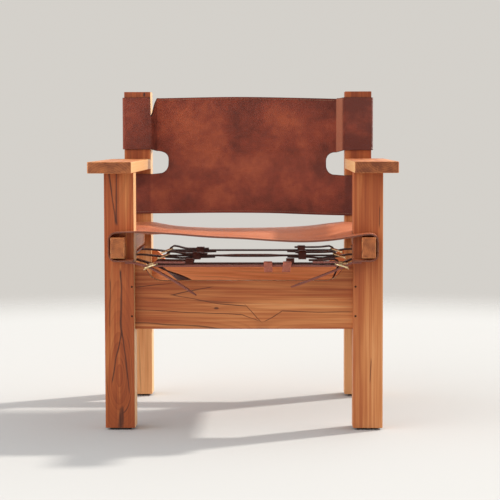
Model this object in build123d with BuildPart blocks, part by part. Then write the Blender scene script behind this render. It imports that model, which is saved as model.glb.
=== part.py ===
from build123d import *
import os
from math import atan2, cos, degrees, hypot, radians, sin, tan
from types import SimpleNamespace

# Armchair in solid wood and saddle leather. Four posts, two flat arms, two side rails and two
# scooped boards make the frame. A seat sling hangs over the rails, a back sling between the
# rear posts, and buckled straps draw both of them tight.
#
# X runs across the chair, Y from front to back and Z up, all in millimetres. The origin is on
# the floor, under the middle of the whole chair.

os.makedirs("parts", exist_ok=True)

# Wooden frame
inner_width = 500.0        # clear width between the legs
leg_width = 68.0
leg_depth = 65.0
leg_round = 2.0
post_spacing = 520.0       # front face of a front leg to front face of a rear post
post_above_back = 15.0     # the posts stand this far above the back sling
arm_above_rail = 140.5     # top of the rail to the underside of the arm
arm_thickness = 26.0
arm_width = 100.0
arm_overhang = 55.0        # how far the arm stands out in front of the leg
arm_round = 4.0
joint_gap = 0.2            # glue line round a tenon or a peg

# Side rails and their through tenons
rail_width = 36.0
rail_height = 56.0
rail_height_above_floor = 421.5   # middle of the rail
rail_round = 9.0           # eased for the leather that rolls over it
tenon_width = 31.0
tenon_height = 47.0
stub_length = 44.0         # the tenon stands out this far in front of the leg
stub_chamfer = 1.6
rear_tenon_length = 40.0

# Scooped boards
board_below_rail = 51.5    # underside of the rail to the board's top edge in the middle
board_height = 111.0       # in the middle
board_ear = 39.0           # the ends rise this far above the middle
board_ear_run = 72.0       # length of the curve that rises to the ear
board_thickness = 26.0
board_setback = 20.0       # front face of the board behind the front face of the leg
board_tenon_length = 30.0
board_tenon_thickness = 12.0
board_tenon_shoulder = 14.0
board_round = 1.5
ear_shares = ((0.22, 0.85), (0.45, 0.36), (0.63, 0.10))

# Pegs and dowels
board_peg_diameter = 5.0
board_peg_past_tenon = 5.0
board_peg_inset = 5.5      # from the inner face of the leg
board_peg_above_bottom = 31.5
board_peg_below_waist = 12.0
rail_peg_diameter = 8.0
rail_peg_length = 54.0
dowel_diameter = 10.0
dowel_length = 44.0
dowel_in_arm = 18.0
dowel_spacing = 30.0

# Glides and their nails
glide_diameter = 17.0
glide_height = 5.0
glide_spacing = 32.0
nail_diameter = 2.4
nail_length = 16.0
nail_head_diameter = 6.0
nail_head_height = 1.2
nail_recess = 1.5          # the head sits this far above the floor

# Leather
leather = 4.0              # slings
strap_leather = 3.5        # straps and tabs
strap_width = 25.0
lay_gap = 0.3              # between a piece of leather and what it lies on

# Seat sling
seat_front_lip = 40.0      # the sling stands out this far in front of the legs
seat_rear_gap = 1.0        # in front of the back sling
seat_sag = 15.0
seat_slot_gap = 0.8        # round a leg
seat_flap_inset = 1.5      # inner edge of the front lip's flap, inside the inner face of the leg
seat_flap_back = 0.5       # inner edge of the flap behind the legs, inside the rail's inner face
seat_shoulder = 245.0      # the sag starts this far from the middle

# Back sling
sleeve_above_arm = 22.0
sleeve_height = 135.0
lobe_below_arm = 13.0
lobe_height = 103.0
arm_notch_depth = 45.0     # from the inner face of the post
arm_notch_round = 14.0
crease_inset = 21.0        # where the sleeve meets the panel, inside the post
crease_depth = 14.0        # and behind the front face of the post
panel_bend = 40.0
wing_end_inset = 6.0       # end of the wing behind the post

# Buckles
wire_diameter = 3.5
buckle_pitch = 25.0        # bar to bar, along the strap
buckle_play = 3.0          # between the strap's two edges and the frame
buckle_corner = 4.0
prong_diameter = 2.4
prong_bore_gap = 0.05
prong_eye_wall = 1.3
prong_eye_width = 4.0
prong_past_bar = 4.0
prong_slot_width = 4.2
prong_play = 0.6           # at both ends of the slot that lets the prong turn
prong_swing = 20.0         # degrees that the prong can open with the strap in place
chape_slot_width = 6.0
chape_slot_length = 5.0

# Straps and tabs, measured from the bar that carries the buckle
tab_sewn_length = 44.0
front_tab_sewn = 16.0      # the front row is sewn to the narrow flap of the lip
tab_leaves_inset = 2.0     # the tab leaves the sling this far inside the inner face of the leg
tab_bend_radius = 12.0
tab_tail = 113.0
tab_point = 20.0           # the tail tapers over this length
tab_tip_width = 5.0
tab_hole_diameter = 4.0
tab_hole_count = 4
tab_hole_spacing = 20.0
chape_length = 94.0

# Rows of straps, measured behind the front face of the front legs, and how far a row's bars
# stand under the leather that its tabs are sewn to
row_places = {"front": -22.0, "second": 80.0, "middle": 250.0, "rear": 450.0}
row_drops = {"front": 5.4, "second": 7.7, "middle": 0.7, "rear": 0.7}
back_row_drop = 0.7

# How far a row's bars stand inside the inner faces of the legs, and where its tabs turn in
# under the strap, measured out from the bar
row_insets = {
    "front": {"left": 52.0, "right": 39.0},
    "second": {"left": 50.0, "right": 36.0},
    "middle": {"left": 63.0, "right": 36.0},
    "rear": {"left": 58.0, "right": 36.0},
}
back_bar_inset = 44.0
row_turns = {"front": 14.0, "second": 4.0, "middle": 1.0, "rear": 1.0}
back_row_turn = 1.0
back_row_inset = 26.0      # from the top and the bottom edge of the lobe

# Shorter folds, and loose tails: how far one runs in and how far it falls on the way
row_chapes = {
    "front": {"left": 66.0, "right": 54.0},
    "second": {"left": 84.0, "right": 64.0},
}
loose_tails = {
    "front": {"left": (92.0, 64.0), "right": (103.0, 45.0)},
    "second": {"left": (99.0, 60.0), "right": (35.0, 98.0)},
}

# Keepers
keeper_leather = 2.0
keeper_width = 19.0
keeper_play = 1.2
keeper_slack = 1.5
keeper_round = 4.0
hanging_keeper_height = 14.0
snug_keeper_places = {
    "second": (-127.0, 107.0),
    "middle": (-119.0, 137.0),
    "rear": (-119.0, 137.0),
}
hanging_keeper_places = (56.0, 100.0)
back_keeper_place = 137.0

overrun = 5.0              # cutting tools reach this far past what they cut

# Places worked out from the sizes above
sides = {"left": -1, "right": 1}
leg_inner = inner_width / 2
leg_outer = leg_inner + leg_width
leg_middle = leg_inner + leg_width / 2
bar_places = {
    row: {side: leg_inner - inset for side, inset in insets.items()}
    for row, insets in row_insets.items()
}
back_bar_x = leg_inner - back_bar_inset

bar_radius = wire_diameter / 2
chape_inner = bar_radius + lay_gap
chape_outer = chape_inner + strap_leather
prong_eye_bore = bar_radius + prong_bore_gap
prong_eye_outer = prong_eye_bore + prong_eye_wall
prong_radius = prong_diameter / 2

# In a buckle's own section the bar is at the origin, x points out to the sling and y up to it.
# The tab comes in over the outer bar, turns level under the strap, and the prong closes below.
tab_level_y = -(chape_outer + lay_gap)
tab_underside_y = tab_level_y - strap_leather
keeper_underside_y = tab_underside_y - keeper_slack - keeper_leather


def buckle_section(drop, inset, turn, sewn=tab_sewn_length):
    tab_leaves = inset - tab_leaves_inset
    rise = drop - lay_gap - tab_level_y
    slope = atan2(rise, tab_leaves - turn)
    over_bar_y = tab_level_y + (buckle_pitch - turn) * tan(slope) - strap_leather / cos(slope)
    outer_bar_y = over_bar_y - (bar_radius + lay_gap) / cos(slope)
    prong_rest_y = outer_bar_y - bar_radius - prong_radius - lay_gap
    prong_dip = atan2(-prong_rest_y, buckle_pitch)
    prong_length = hypot(buckle_pitch, prong_rest_y) + prong_past_bar

    # The prong's slot in the tab spans where the prong crosses it, shut and open
    def slot_end(dip, way):
        half = strap_leather / 2
        middle_y = tab_level_y - turn * tan(slope) - half / cos(slope)
        crossing = -middle_y / (tan(slope) + tan(dip))
        bite = dip + slope
        along_tab = half / tan(bite) + prong_radius / sin(bite)
        reach = along_tab * cos(slope) + half * sin(slope) + prong_play
        return crossing + way * reach

    return SimpleNamespace(
        sewn_end=inset + sewn + seat_flap_inset,
        tab_leaves=tab_leaves,
        turn=turn,
        start_y=drop - lay_gap,
        outer_bar_y=outer_bar_y,
        prong_dip=prong_dip,
        prong_length=prong_length,
        prong_tip_y=-prong_length * sin(prong_dip) - prong_radius,
        slot=(slot_end(prong_dip + radians(prong_swing), -1), slot_end(prong_dip, 1)),
    )


back_section = buckle_section(back_row_drop, back_bar_inset, back_row_turn)

# Front to back
back_reach = (
    lay_gap + leather + back_row_drop + max(-back_section.prong_tip_y, -keeper_underside_y)
)
total_depth = arm_overhang + post_spacing + leg_depth + back_reach
leg_front = arm_overhang - total_depth / 2
leg_back = leg_front + leg_depth
post_front = leg_front + post_spacing
post_back = post_front + leg_depth
arm_front = leg_front - arm_overhang

# Heights
rail_top = rail_height_above_floor + rail_height / 2
rail_bottom = rail_height_above_floor - rail_height / 2
board_waist = rail_bottom - board_below_rail
board_bottom = board_waist - board_height
arm_underside = rail_top + arm_above_rail
lobe_top = arm_underside - lobe_below_arm
lobe_bottom = lobe_top - lobe_height
sleeve_bottom = arm_underside + arm_thickness + sleeve_above_arm
back_top = sleeve_bottom + sleeve_height
post_top = back_top + post_above_back
flap_underside = rail_bottom - lay_gap - leather
back_bar_y = post_back + lay_gap + leather + back_row_drop
back_row_heights = {"upper": lobe_top - back_row_inset, "lower": lobe_bottom + back_row_inset}


# Legs and posts
# Each one is pulled up from its section on the glides, then cut for the rail, the board and the
# pegs. For each board: its front face, the face its pegs are driven in from, and how far they
# go, with the way in the sign.
tenon_setback = board_setback + (board_thickness - board_tenon_thickness) / 2
boards = {
    "front": (
        leg_front + board_setback,
        leg_front,
        -(tenon_setback + board_tenon_thickness + board_peg_past_tenon),
    ),
    "rear": (
        post_front + board_setback,
        post_back,
        leg_depth - tenon_setback + board_peg_past_tenon,
    ),
}
glide_offsets = [(sx * glide_spacing / 2, sy * glide_spacing / 2) for sx in (-1, 1) for sy in (-1, 1)]


def leg_section(hand, front):
    with BuildSketch(Plane.XY.offset(glide_height)) as section:
        with Locations((hand * leg_middle, front + leg_depth / 2)):
            RectangleRounded(leg_width, leg_depth, leg_round)
    return section.sketch


def nail_holes(hand, front):
    with BuildSketch(Plane.XY.offset(glide_height)) as holes:
        with Locations((hand * leg_middle, front + leg_depth / 2)):
            with Locations(*glide_offsets):
                Circle(nail_diameter / 2)
    return holes.sketch


def tenon_hole(hand, y):
    with BuildSketch(Plane.XZ.offset(-y)) as hole:
        with Locations((hand * leg_middle, rail_height_above_floor)):
            Rectangle(tenon_width + joint_gap * 2, tenon_height + joint_gap * 2)
    return hole.sketch


def board_mortise(hand, board_front):
    with BuildSketch(Plane.YZ.offset(hand * (leg_inner - overrun))) as mortise:
        with Locations((board_front + board_thickness / 2, (board_low + board_high) / 2)):
            Rectangle(
                board_tenon_thickness + joint_gap * 2,
                board_high - board_low + joint_gap * 2,
            )
    return mortise.sketch


def board_peg_section(hand, y, radius):
    with BuildSketch(Plane.XZ.offset(-y)) as section:
        with Locations(
            (hand * (leg_inner + board_peg_inset), board_bottom + board_peg_above_bottom),
            (hand * (leg_inner + board_peg_inset), board_waist - board_peg_below_waist),
        ):
            Circle(radius)
    return section.sketch


def rail_peg_section(hand, front, radius):
    with BuildSketch(Plane.YZ.offset(hand * leg_inner)) as section:
        with Locations((front + leg_depth / 2, rail_height_above_floor)):
            Circle(radius)
    return section.sketch


def upright_dowels(hand, z, radius):
    with BuildSketch(Plane.XY.offset(z)) as section:
        with Locations((hand * leg_middle, leg_front + leg_depth / 2)):
            with GridLocations(0, dowel_spacing, 1, 2):
                Circle(radius)
    return section.sketch


def level_dowels(hand, radius):
    with BuildSketch(Plane.XZ.offset(-post_front)) as section:
        with Locations((hand * leg_middle, arm_underside + arm_thickness / 2)):
            with GridLocations(dowel_spacing, 0, 2, 1):
                Circle(radius)
    return section.sketch


board_low = board_bottom + board_tenon_shoulder
board_high = board_waist + board_ear - board_tenon_shoulder
board_peg_hole = board_peg_diameter / 2 + joint_gap / 2
rail_peg_hole = rail_peg_diameter / 2 + joint_gap / 2
dowel_hole = dowel_diameter / 2 + joint_gap / 2
mortise_depth = board_tenon_length + joint_gap + overrun

for side, hand in sides.items():
    with BuildPart() as front_leg:
        extrude(leg_section(hand, leg_front), amount=arm_underside - glide_height)
        extrude(
            tenon_hole(hand, leg_front - overrun),
            amount=-(leg_depth + overrun * 2),
            mode=Mode.SUBTRACT,
        )
        extrude(
            board_mortise(hand, leg_front + board_setback),
            amount=hand * mortise_depth,
            mode=Mode.SUBTRACT,
        )
        extrude(
            board_peg_section(hand, leg_front, board_peg_hole),
            amount=boards["front"][2] - joint_gap,
            mode=Mode.SUBTRACT,
        )
        extrude(
            rail_peg_section(hand, leg_front, rail_peg_hole),
            amount=hand * (rail_peg_length + joint_gap),
            mode=Mode.SUBTRACT,
        )
        extrude(nail_holes(hand, leg_front), amount=nail_length + joint_gap, mode=Mode.SUBTRACT)
        extrude(
            upright_dowels(hand, arm_underside, dowel_hole),
            amount=-(dowel_length - dowel_in_arm + joint_gap),
            mode=Mode.SUBTRACT,
        )
    front_leg.part.label = f"front_leg_{side}"
    export_step(front_leg.part, f"parts/front_leg_{side}.step")

    with BuildPart() as rear_post:
        extrude(leg_section(hand, post_front), amount=post_top - glide_height)
        chamfer(rear_post.faces().sort_by(Axis.Z)[-1].edges(), length=leg_round / 2)
        extrude(
            tenon_hole(hand, post_front - overrun),
            amount=-(rear_tenon_length + joint_gap + overrun),
            mode=Mode.SUBTRACT,
        )
        extrude(
            board_mortise(hand, post_front + board_setback),
            amount=hand * mortise_depth,
            mode=Mode.SUBTRACT,
        )
        extrude(
            board_peg_section(hand, post_back, board_peg_hole),
            amount=boards["rear"][2] + joint_gap,
            mode=Mode.SUBTRACT,
        )
        extrude(
            rail_peg_section(hand, post_front, rail_peg_hole),
            amount=hand * (rail_peg_length + joint_gap),
            mode=Mode.SUBTRACT,
        )
        extrude(nail_holes(hand, post_front), amount=nail_length + joint_gap, mode=Mode.SUBTRACT)
        extrude(
            level_dowels(hand, dowel_hole),
            amount=-(dowel_length / 2 + joint_gap),
            mode=Mode.SUBTRACT,
        )
    rear_post.part.label = f"rear_post_{side}"
    export_step(rear_post.part, f"parts/rear_post_{side}.step")

# Armrests
# A flat board that sits on the front leg and butts against the front face of the rear post.
arm_length = post_front - arm_front
for side, hand in sides.items():
    with BuildPart() as armrest:
        with BuildSketch(Plane.XY.offset(arm_underside)):
            with Locations((hand * (leg_inner + arm_width / 2), arm_front + arm_length / 2)):
                Rectangle(arm_width, arm_length)
        extrude(amount=arm_thickness)
        fillet(armrest.edges().filter_by(Axis.Z), radius=arm_round)
        fillet(armrest.faces().sort_by(Axis.Z)[-1].edges(), radius=arm_round / 2)
        fillet(armrest.faces().sort_by(Axis.Z)[0].edges(), radius=arm_round / 2)
        extrude(
            upright_dowels(hand, arm_underside, dowel_hole),
            amount=dowel_in_arm + joint_gap,
            mode=Mode.SUBTRACT,
        )
        extrude(
            level_dowels(hand, dowel_hole), amount=dowel_length / 2 + joint_gap, mode=Mode.SUBTRACT
        )
    armrest.part.label = f"armrest_{side}"
    export_step(armrest.part, f"parts/armrest_{side}.step")

# Side rails
# The leather rolls over the full section. A tenon runs on through the front leg and shows as
# a stub, and a shorter one ends inside the rear post.
for side, hand in sides.items():
    with BuildPart() as side_rail:
        with BuildSketch(Plane.XZ.offset(-leg_back)):
            with Locations((hand * leg_middle, rail_height_above_floor)):
                RectangleRounded(rail_width, rail_height, rail_round)
        extrude(amount=-(post_front - leg_back))
        with BuildSketch(Plane.XZ.offset(-(leg_front - stub_length))):
            with Locations((hand * leg_middle, rail_height_above_floor)):
                Rectangle(tenon_width, tenon_height)
        extrude(amount=-(stub_length + post_spacing + rear_tenon_length))
        chamfer(side_rail.faces().sort_by(Axis.Y)[0].edges(), length=stub_chamfer)
        for front in (leg_front, post_front):
            extrude(
                rail_peg_section(hand, front, rail_peg_hole),
                amount=hand * (rail_peg_length + joint_gap),
                mode=Mode.SUBTRACT,
            )
    side_rail.part.label = f"side_rail_{side}"
    export_step(side_rail.part, f"parts/side_rail_{side}.step")

# Boards
# The top edge is scooped: it runs level, then rises in an ogee to an ear at each leg.
ear_points = [
    (leg_inner - along * board_ear_run, board_waist + up * board_ear) for along, up in ear_shares
]
for place, (board_front, peg_face, peg_drive) in boards.items():
    with BuildPart() as board:
        with BuildSketch(Plane.XZ.offset(-board_front)):
            with BuildLine():
                bottom = Line((0, board_bottom), (leg_inner, board_bottom))
                end = Line(bottom @ 1, (leg_inner, board_waist + board_ear))
                ear = Spline(
                    end @ 1,
                    *ear_points,
                    (leg_inner - board_ear_run, board_waist),
                    tangents=((-1, 0), (-1, 0)),
                    tangent_scalars=(ear_shares[0][0], 1),
                )
                Line(ear @ 1, (0, board_waist))
                mirror(about=Plane.YZ)
            make_face()
        extrude(amount=-board_thickness)
        fillet(
            board.edges().filter_by(GeomType.LINE).filter_by(Axis.X).group_by(Axis.Z)[0],
            radius=board_round,
        )
        with BuildSketch(Plane.XZ.offset(-(board_front + board_thickness / 2))):
            for hand in sides.values():
                tenon_middle = hand * (leg_inner + (board_tenon_length - overrun) / 2)
                with Locations((tenon_middle, (board_low + board_high) / 2)):
                    Rectangle(board_tenon_length + overrun, board_high - board_low)
        extrude(amount=board_tenon_thickness / 2, both=True)
        for hand in sides.values():
            extrude(
                board_peg_section(hand, peg_face, board_peg_hole),
                amount=peg_drive,
                mode=Mode.SUBTRACT,
            )
    board.part.label = f"{place}_board"
    export_step(board.part, f"parts/{place}_board.step")

# Pegs and dowels
with BuildPart() as board_pegs:
    for board_front, peg_face, peg_drive in boards.values():
        for hand in sides.values():
            extrude(board_peg_section(hand, peg_face, board_peg_diameter / 2), amount=peg_drive)
board_pegs.part.label = "board_pegs"
export_step(board_pegs.part, "parts/board_pegs.step")

with BuildPart() as rail_pegs:
    for hand in sides.values():
        for front in (leg_front, post_front):
            extrude(
                rail_peg_section(hand, front, rail_peg_diameter / 2),
                amount=hand * rail_peg_length,
            )
rail_pegs.part.label = "rail_pegs"
export_step(rail_pegs.part, "parts/rail_pegs.step")

with BuildPart() as arm_dowels:
    for hand in sides.values():
        extrude(
            upright_dowels(hand, arm_underside + dowel_in_arm, dowel_diameter / 2),
            amount=-dowel_length,
        )
        extrude(level_dowels(hand, dowel_diameter / 2), amount=dowel_length / 2, both=True)
arm_dowels.part.label = "arm_dowels"
export_step(arm_dowels.part, "parts/arm_dowels.step")

# Glides, four under each leg, each held by a nail whose head is sunk into it
glide_places = [
    (hand * leg_middle + dx, front + leg_depth / 2 + dy)
    for hand in sides.values()
    for front in (leg_front, post_front)
    for dx, dy in glide_offsets
]
with BuildPart() as glides:
    with BuildSketch():
        with Locations(*glide_places):
            Circle(glide_diameter / 2)
    extrude(amount=glide_height)
    with Locations(*[(x, y, 0) for x, y in glide_places]):
        Cylinder(
            nail_head_diameter / 2 + joint_gap,
            nail_recess + nail_head_height,
            align=(Align.CENTER, Align.CENTER, Align.MIN),
            mode=Mode.SUBTRACT,
        )
        Cylinder(
            nail_diameter / 2 + joint_gap / 2,
            glide_height,
            align=(Align.CENTER, Align.CENTER, Align.MIN),
            mode=Mode.SUBTRACT,
        )
glides.part.label = "glides"
export_step(glides.part, "parts/glides.step")

with BuildPart() as glide_nails:
    with Locations(*[(x, y, nail_recess) for x, y in glide_places]):
        Cylinder(
            nail_head_diameter / 2,
            nail_head_height,
            align=(Align.CENTER, Align.CENTER, Align.MIN),
        )
        Cylinder(
            nail_diameter / 2,
            glide_height + nail_length - nail_recess,
            align=(Align.CENTER, Align.CENTER, Align.MIN),
        )
glide_nails.part.label = "glide_nails"
export_step(glide_nails.part, "parts/glide_nails.step")

# Seat sling
# One sheet over both rails. It rolls round each rail and comes back under it as a flap, and a
# slot on each side lets the front leg through, so a lip stands out in front of the legs.
wrap_x = leg_middle + rail_width / 2 + lay_gap
flap_x = leg_inner - seat_flap_inset
flap_back_x = leg_middle - rail_width / 2 - seat_flap_back
seat_under = rail_top + lay_gap
seat_front = leg_front - seat_front_lip
seat_rear = post_front - lay_gap - leather - seat_rear_gap
with BuildPart() as seat_sling:
    with BuildSketch(Plane.XZ.offset(-seat_rear)):
        with BuildLine():
            right = FilletPolyline(
                (flap_x, rail_bottom - lay_gap),
                (wrap_x, rail_bottom - lay_gap),
                (wrap_x, seat_under),
                (seat_shoulder, seat_under),
                radius=rail_round + lay_gap,
            )
            sag = ThreePointArc(right @ 1, (0, seat_under - seat_sag), (-seat_shoulder, seat_under))
            FilletPolyline(
                sag @ 1,
                (-wrap_x, seat_under),
                (-wrap_x, rail_bottom - lay_gap),
                (-flap_x, rail_bottom - lay_gap),
                radius=rail_round + lay_gap,
            )
            offset(amount=leather, side=Side.RIGHT)
        make_face()
    extrude(amount=seat_rear - seat_front)
    for hand in sides.values():
        with BuildSketch(Plane.XY.offset(flap_underside - overrun)):
            with Locations((hand * leg_middle, leg_front + leg_depth / 2)):
                Rectangle(leg_width + seat_slot_gap * 2, leg_depth + seat_slot_gap * 2)
        extrude(amount=rail_height + overrun * 4, mode=Mode.SUBTRACT)
        # Behind the lip the flap ends at the rail, and the tabs go on from there alone
        short = flap_back_x - flap_x + overrun
        with BuildSketch(Plane.XY.offset(flap_underside - overrun)):
            with Locations((hand * (flap_back_x - short / 2), leg_front)):
                Rectangle(
                    short, seat_rear - leg_front + overrun, align=(Align.CENTER, Align.MIN)
                )
        extrude(amount=overrun + leather + lay_gap, mode=Mode.SUBTRACT)
seat_sling.part.label = "seat_sling"
export_step(seat_sling.part, "parts/seat_sling.step")

# Back sling
# The panel hangs just behind the front of the posts. Its upper wings are sleeves round the
# posts, its lower wings pass in front of them and round behind, and the arms go through notches.
back_face = post_front - lay_gap
panel_face = post_front + crease_depth - leather / 2
crease_x = leg_inner - crease_inset
notch_x = leg_inner - arm_notch_depth
with BuildPart() as back_sling:
    with BuildSketch(Plane.YZ):
        with BuildLine():
            FilletPolyline(
                (back_face, lobe_bottom),
                (back_face, lobe_top),
                (panel_face + leather, sleeve_bottom),
                (panel_face + leather, back_top),
                radius=panel_bend,
            )
            offset(amount=leather, side=Side.LEFT)
        make_face()
    extrude(amount=crease_x, both=True)
    for hand in sides.values():
        with BuildSketch(Plane.XZ.offset(-(post_front - leather - overrun))):
            with Locations((hand * (crease_x + overrun), (lobe_top + sleeve_bottom) / 2)):
                Rectangle((crease_x + overrun - notch_x) * 2, sleeve_bottom - lobe_top)
        extrude(amount=-(leg_depth + leather), mode=Mode.SUBTRACT)
        with BuildSketch(Plane.XY.offset(sleeve_bottom)):
            with BuildLine():
                Polyline(
                    (hand * crease_x, post_front + crease_depth),
                    (hand * (leg_inner - lay_gap), post_front - lay_gap),
                    (hand * (leg_outer + lay_gap), post_front - lay_gap),
                    (hand * (leg_outer + lay_gap), post_back + lay_gap),
                    (hand * (leg_inner - lay_gap), post_back + lay_gap),
                    close=True,
                )
            sleeve_inside = make_face()
            offset(amount=leather)
            add(sleeve_inside, mode=Mode.SUBTRACT)
        extrude(amount=back_top - sleeve_bottom)
        with BuildSketch(Plane.XY.offset(lobe_bottom)):
            with BuildLine():
                FilletPolyline(
                    (hand * notch_x, back_face),
                    (hand * (leg_outer + lay_gap), back_face),
                    (hand * (leg_outer + lay_gap), post_back + lay_gap),
                    (hand * (leg_inner + wing_end_inset), post_back + lay_gap),
                    radius=leg_round + lay_gap,
                )
                offset(amount=leather, side=Side.RIGHT if hand > 0 else Side.LEFT)
            make_face()
        extrude(amount=lobe_top - lobe_bottom)
back_sling.part.label = "back_sling"
export_step(back_sling.part, "parts/back_sling.step")


# Buckles, straps and tabs
# Every row has the same section, drawn from the bar that the strap is folded round.
def row_plane(x, y, z, hand, up):
    x_dir = Vector(hand, 0, 0)
    return Plane(origin=(x, y, z), x_dir=x_dir, z_dir=x_dir.cross(Vector(*up)))


def buckle_pieces(plane, section, tail, name):
    # The frame is one bent wire, tilted because the tab passes over its outer bar.
    tilt = atan2(section.outer_bar_y, buckle_pitch)
    frame_length = hypot(buckle_pitch, section.outer_bar_y)
    frame_half = (strap_width + buckle_play + wire_diameter) / 2
    along = plane.x_dir * cos(tilt) + plane.y_dir * sin(tilt)
    frame_plane = Plane(origin=plane.origin, x_dir=along, z_dir=along.cross(plane.z_dir))
    with BuildPart() as frame:
        with BuildLine(frame_plane) as ring:
            FilletPolyline(
                (0, frame_half),
                (frame_length, frame_half),
                (frame_length, -frame_half),
                (0, -frame_half),
                radius=buckle_corner,
                close=True,
            )
        with BuildSketch(Plane(origin=ring.line @ 0, z_dir=ring.line % 0)):
            Circle(bar_radius)
        sweep()
    frame.part.label = f"{name}_buckle"
    export_step(frame.part, f"parts/{frame.part.label}.step")

    # The prong turns on the inner bar and closes on the outer one.
    shank = plane.x_dir * cos(section.prong_dip) - plane.y_dir * sin(section.prong_dip)
    with BuildPart() as prong:
        with BuildSketch(plane):
            Circle(prong_eye_outer)
        extrude(amount=prong_eye_width / 2, both=True)
        with BuildSketch(Plane(origin=plane.origin, z_dir=shank)):
            Circle(prong_radius)
        extrude(amount=section.prong_length)
        with BuildSketch(plane):
            Circle(prong_eye_bore)
        extrude(amount=prong_eye_width, both=True, mode=Mode.SUBTRACT)
    prong.part.label = f"{name}_prong"
    export_step(prong.part, f"parts/{prong.part.label}.step")

    # The tab is sewn under the sling. A loose tail falls from the buckle, a kept one runs level.
    tail_run, tail_fall = tail
    with BuildPart() as tab:
        with BuildSketch(plane):
            with BuildLine():
                FilletPolyline(
                    (section.sewn_end, section.start_y),
                    (section.tab_leaves, section.start_y),
                    (section.turn, tab_level_y),
                    (-tail_run, tab_level_y - tail_fall),
                    radius=tab_bend_radius,
                )
                offset(amount=strap_leather, side=Side.LEFT)
            make_face()
        extrude(amount=strap_width / 2, both=True)
        with BuildSketch(plane):
            with Locations((sum(section.slot) / 2, tab_level_y)):
                Rectangle(section.slot[1] - section.slot[0], strap_leather * 10)
        extrude(amount=prong_slot_width / 2, both=True, mode=Mode.SUBTRACT)
        tail_turn = atan2(tail_fall, tail_run + section.turn)
        tail_along = -plane.x_dir * cos(tail_turn) - plane.y_dir * sin(tail_turn)
        tail_origin = plane.origin + plane.x_dir * section.turn + plane.y_dir * tab_level_y
        tail_plane = Plane(origin=tail_origin, x_dir=tail_along, z_dir=tail_along.cross(plane.z_dir))
        tail_end = hypot(tail_run + section.turn, tail_fall)
        with BuildSketch(tail_plane):
            with Locations((tail_end - tab_point - tab_hole_spacing * tab_hole_count / 2, 0)):
                with GridLocations(tab_hole_spacing, 0, tab_hole_count, 1):
                    Circle(tab_hole_diameter / 2)
            for way in sides.values():
                with BuildLine():
                    Polyline(
                        (tail_end - tab_point, way * strap_width / 2),
                        (tail_end, way * tab_tip_width / 2),
                        (tail_end + overrun, way * tab_tip_width / 2),
                        (tail_end + overrun, way * strap_width),
                        (tail_end - tab_point, way * strap_width),
                        close=True,
                    )
                make_face()
        extrude(amount=strap_leather * 4, both=True, mode=Mode.SUBTRACT)
    tab.part.label = f"{name}_tab"
    export_step(tab.part, f"parts/{tab.part.label}.step")


up_to_seat = (0, 0, 1)
up_to_post = (0, -1, 0)

kept_tail = (tab_tail, 0)
bar_heights = {row: flap_underside - drop for row, drop in row_drops.items()}

for row, behind in row_places.items():
    for side, hand in sides.items():
        sewn = front_tab_sewn if row == "front" else tab_sewn_length
        section = buckle_section(row_drops[row], row_insets[row][side], row_turns[row], sewn)
        bar_x = bar_places[row][side]
        plane = row_plane(hand * bar_x, leg_front + behind, bar_heights[row], hand, up_to_seat)
        tail = loose_tails[row][side] if row in loose_tails else kept_tail
        buckle_pieces(plane, section, tail, f"seat_{row}_{side}")

for row, height in back_row_heights.items():
    plane = row_plane(back_bar_x, back_bar_y, height, 1, up_to_post)
    buckle_pieces(plane, back_section, kept_tail, f"back_{row}")


# Seat straps, folded round a bar at both ends
for row, behind in row_places.items():
    ends = row_chapes.get(row, {side: chape_length for side in sides})
    bar_z = bar_heights[row]
    left_x, right_x = -bar_places[row]["left"], bar_places[row]["right"]
    with BuildPart() as strap:
        with BuildSketch(Plane.XZ.offset(-(leg_front + behind))):
            with BuildLine():
                first = Line(
                    (left_x + ends["left"], bar_z + chape_inner),
                    (left_x, bar_z + chape_inner),
                )
                turn = ThreePointArc(
                    first @ 1, (left_x - chape_inner, bar_z), (left_x, bar_z - chape_inner)
                )
                middle = Line(turn @ 1, (right_x, bar_z - chape_inner))
                turn_back = ThreePointArc(
                    middle @ 1, (right_x + chape_inner, bar_z), (right_x, bar_z + chape_inner)
                )
                Line(turn_back @ 1, (right_x - ends["right"], bar_z + chape_inner))
                offset(amount=strap_leather, side=Side.RIGHT)
            make_face()
        extrude(amount=strap_width / 2, both=True)
        with BuildSketch(Plane.XZ.offset(-(leg_front + behind))):
            for side, hand in sides.items():
                slot_x = bar_places[row][side] + (chape_outer - chape_slot_length) / 2
                with Locations((hand * slot_x, bar_z)):
                    Rectangle(chape_outer + chape_slot_length, chape_outer * 3)
        extrude(amount=chape_slot_width / 2, both=True, mode=Mode.SUBTRACT)
    strap.part.label = f"seat_{row}_strap"
    export_step(strap.part, f"parts/{strap.part.label}.step")

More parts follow.
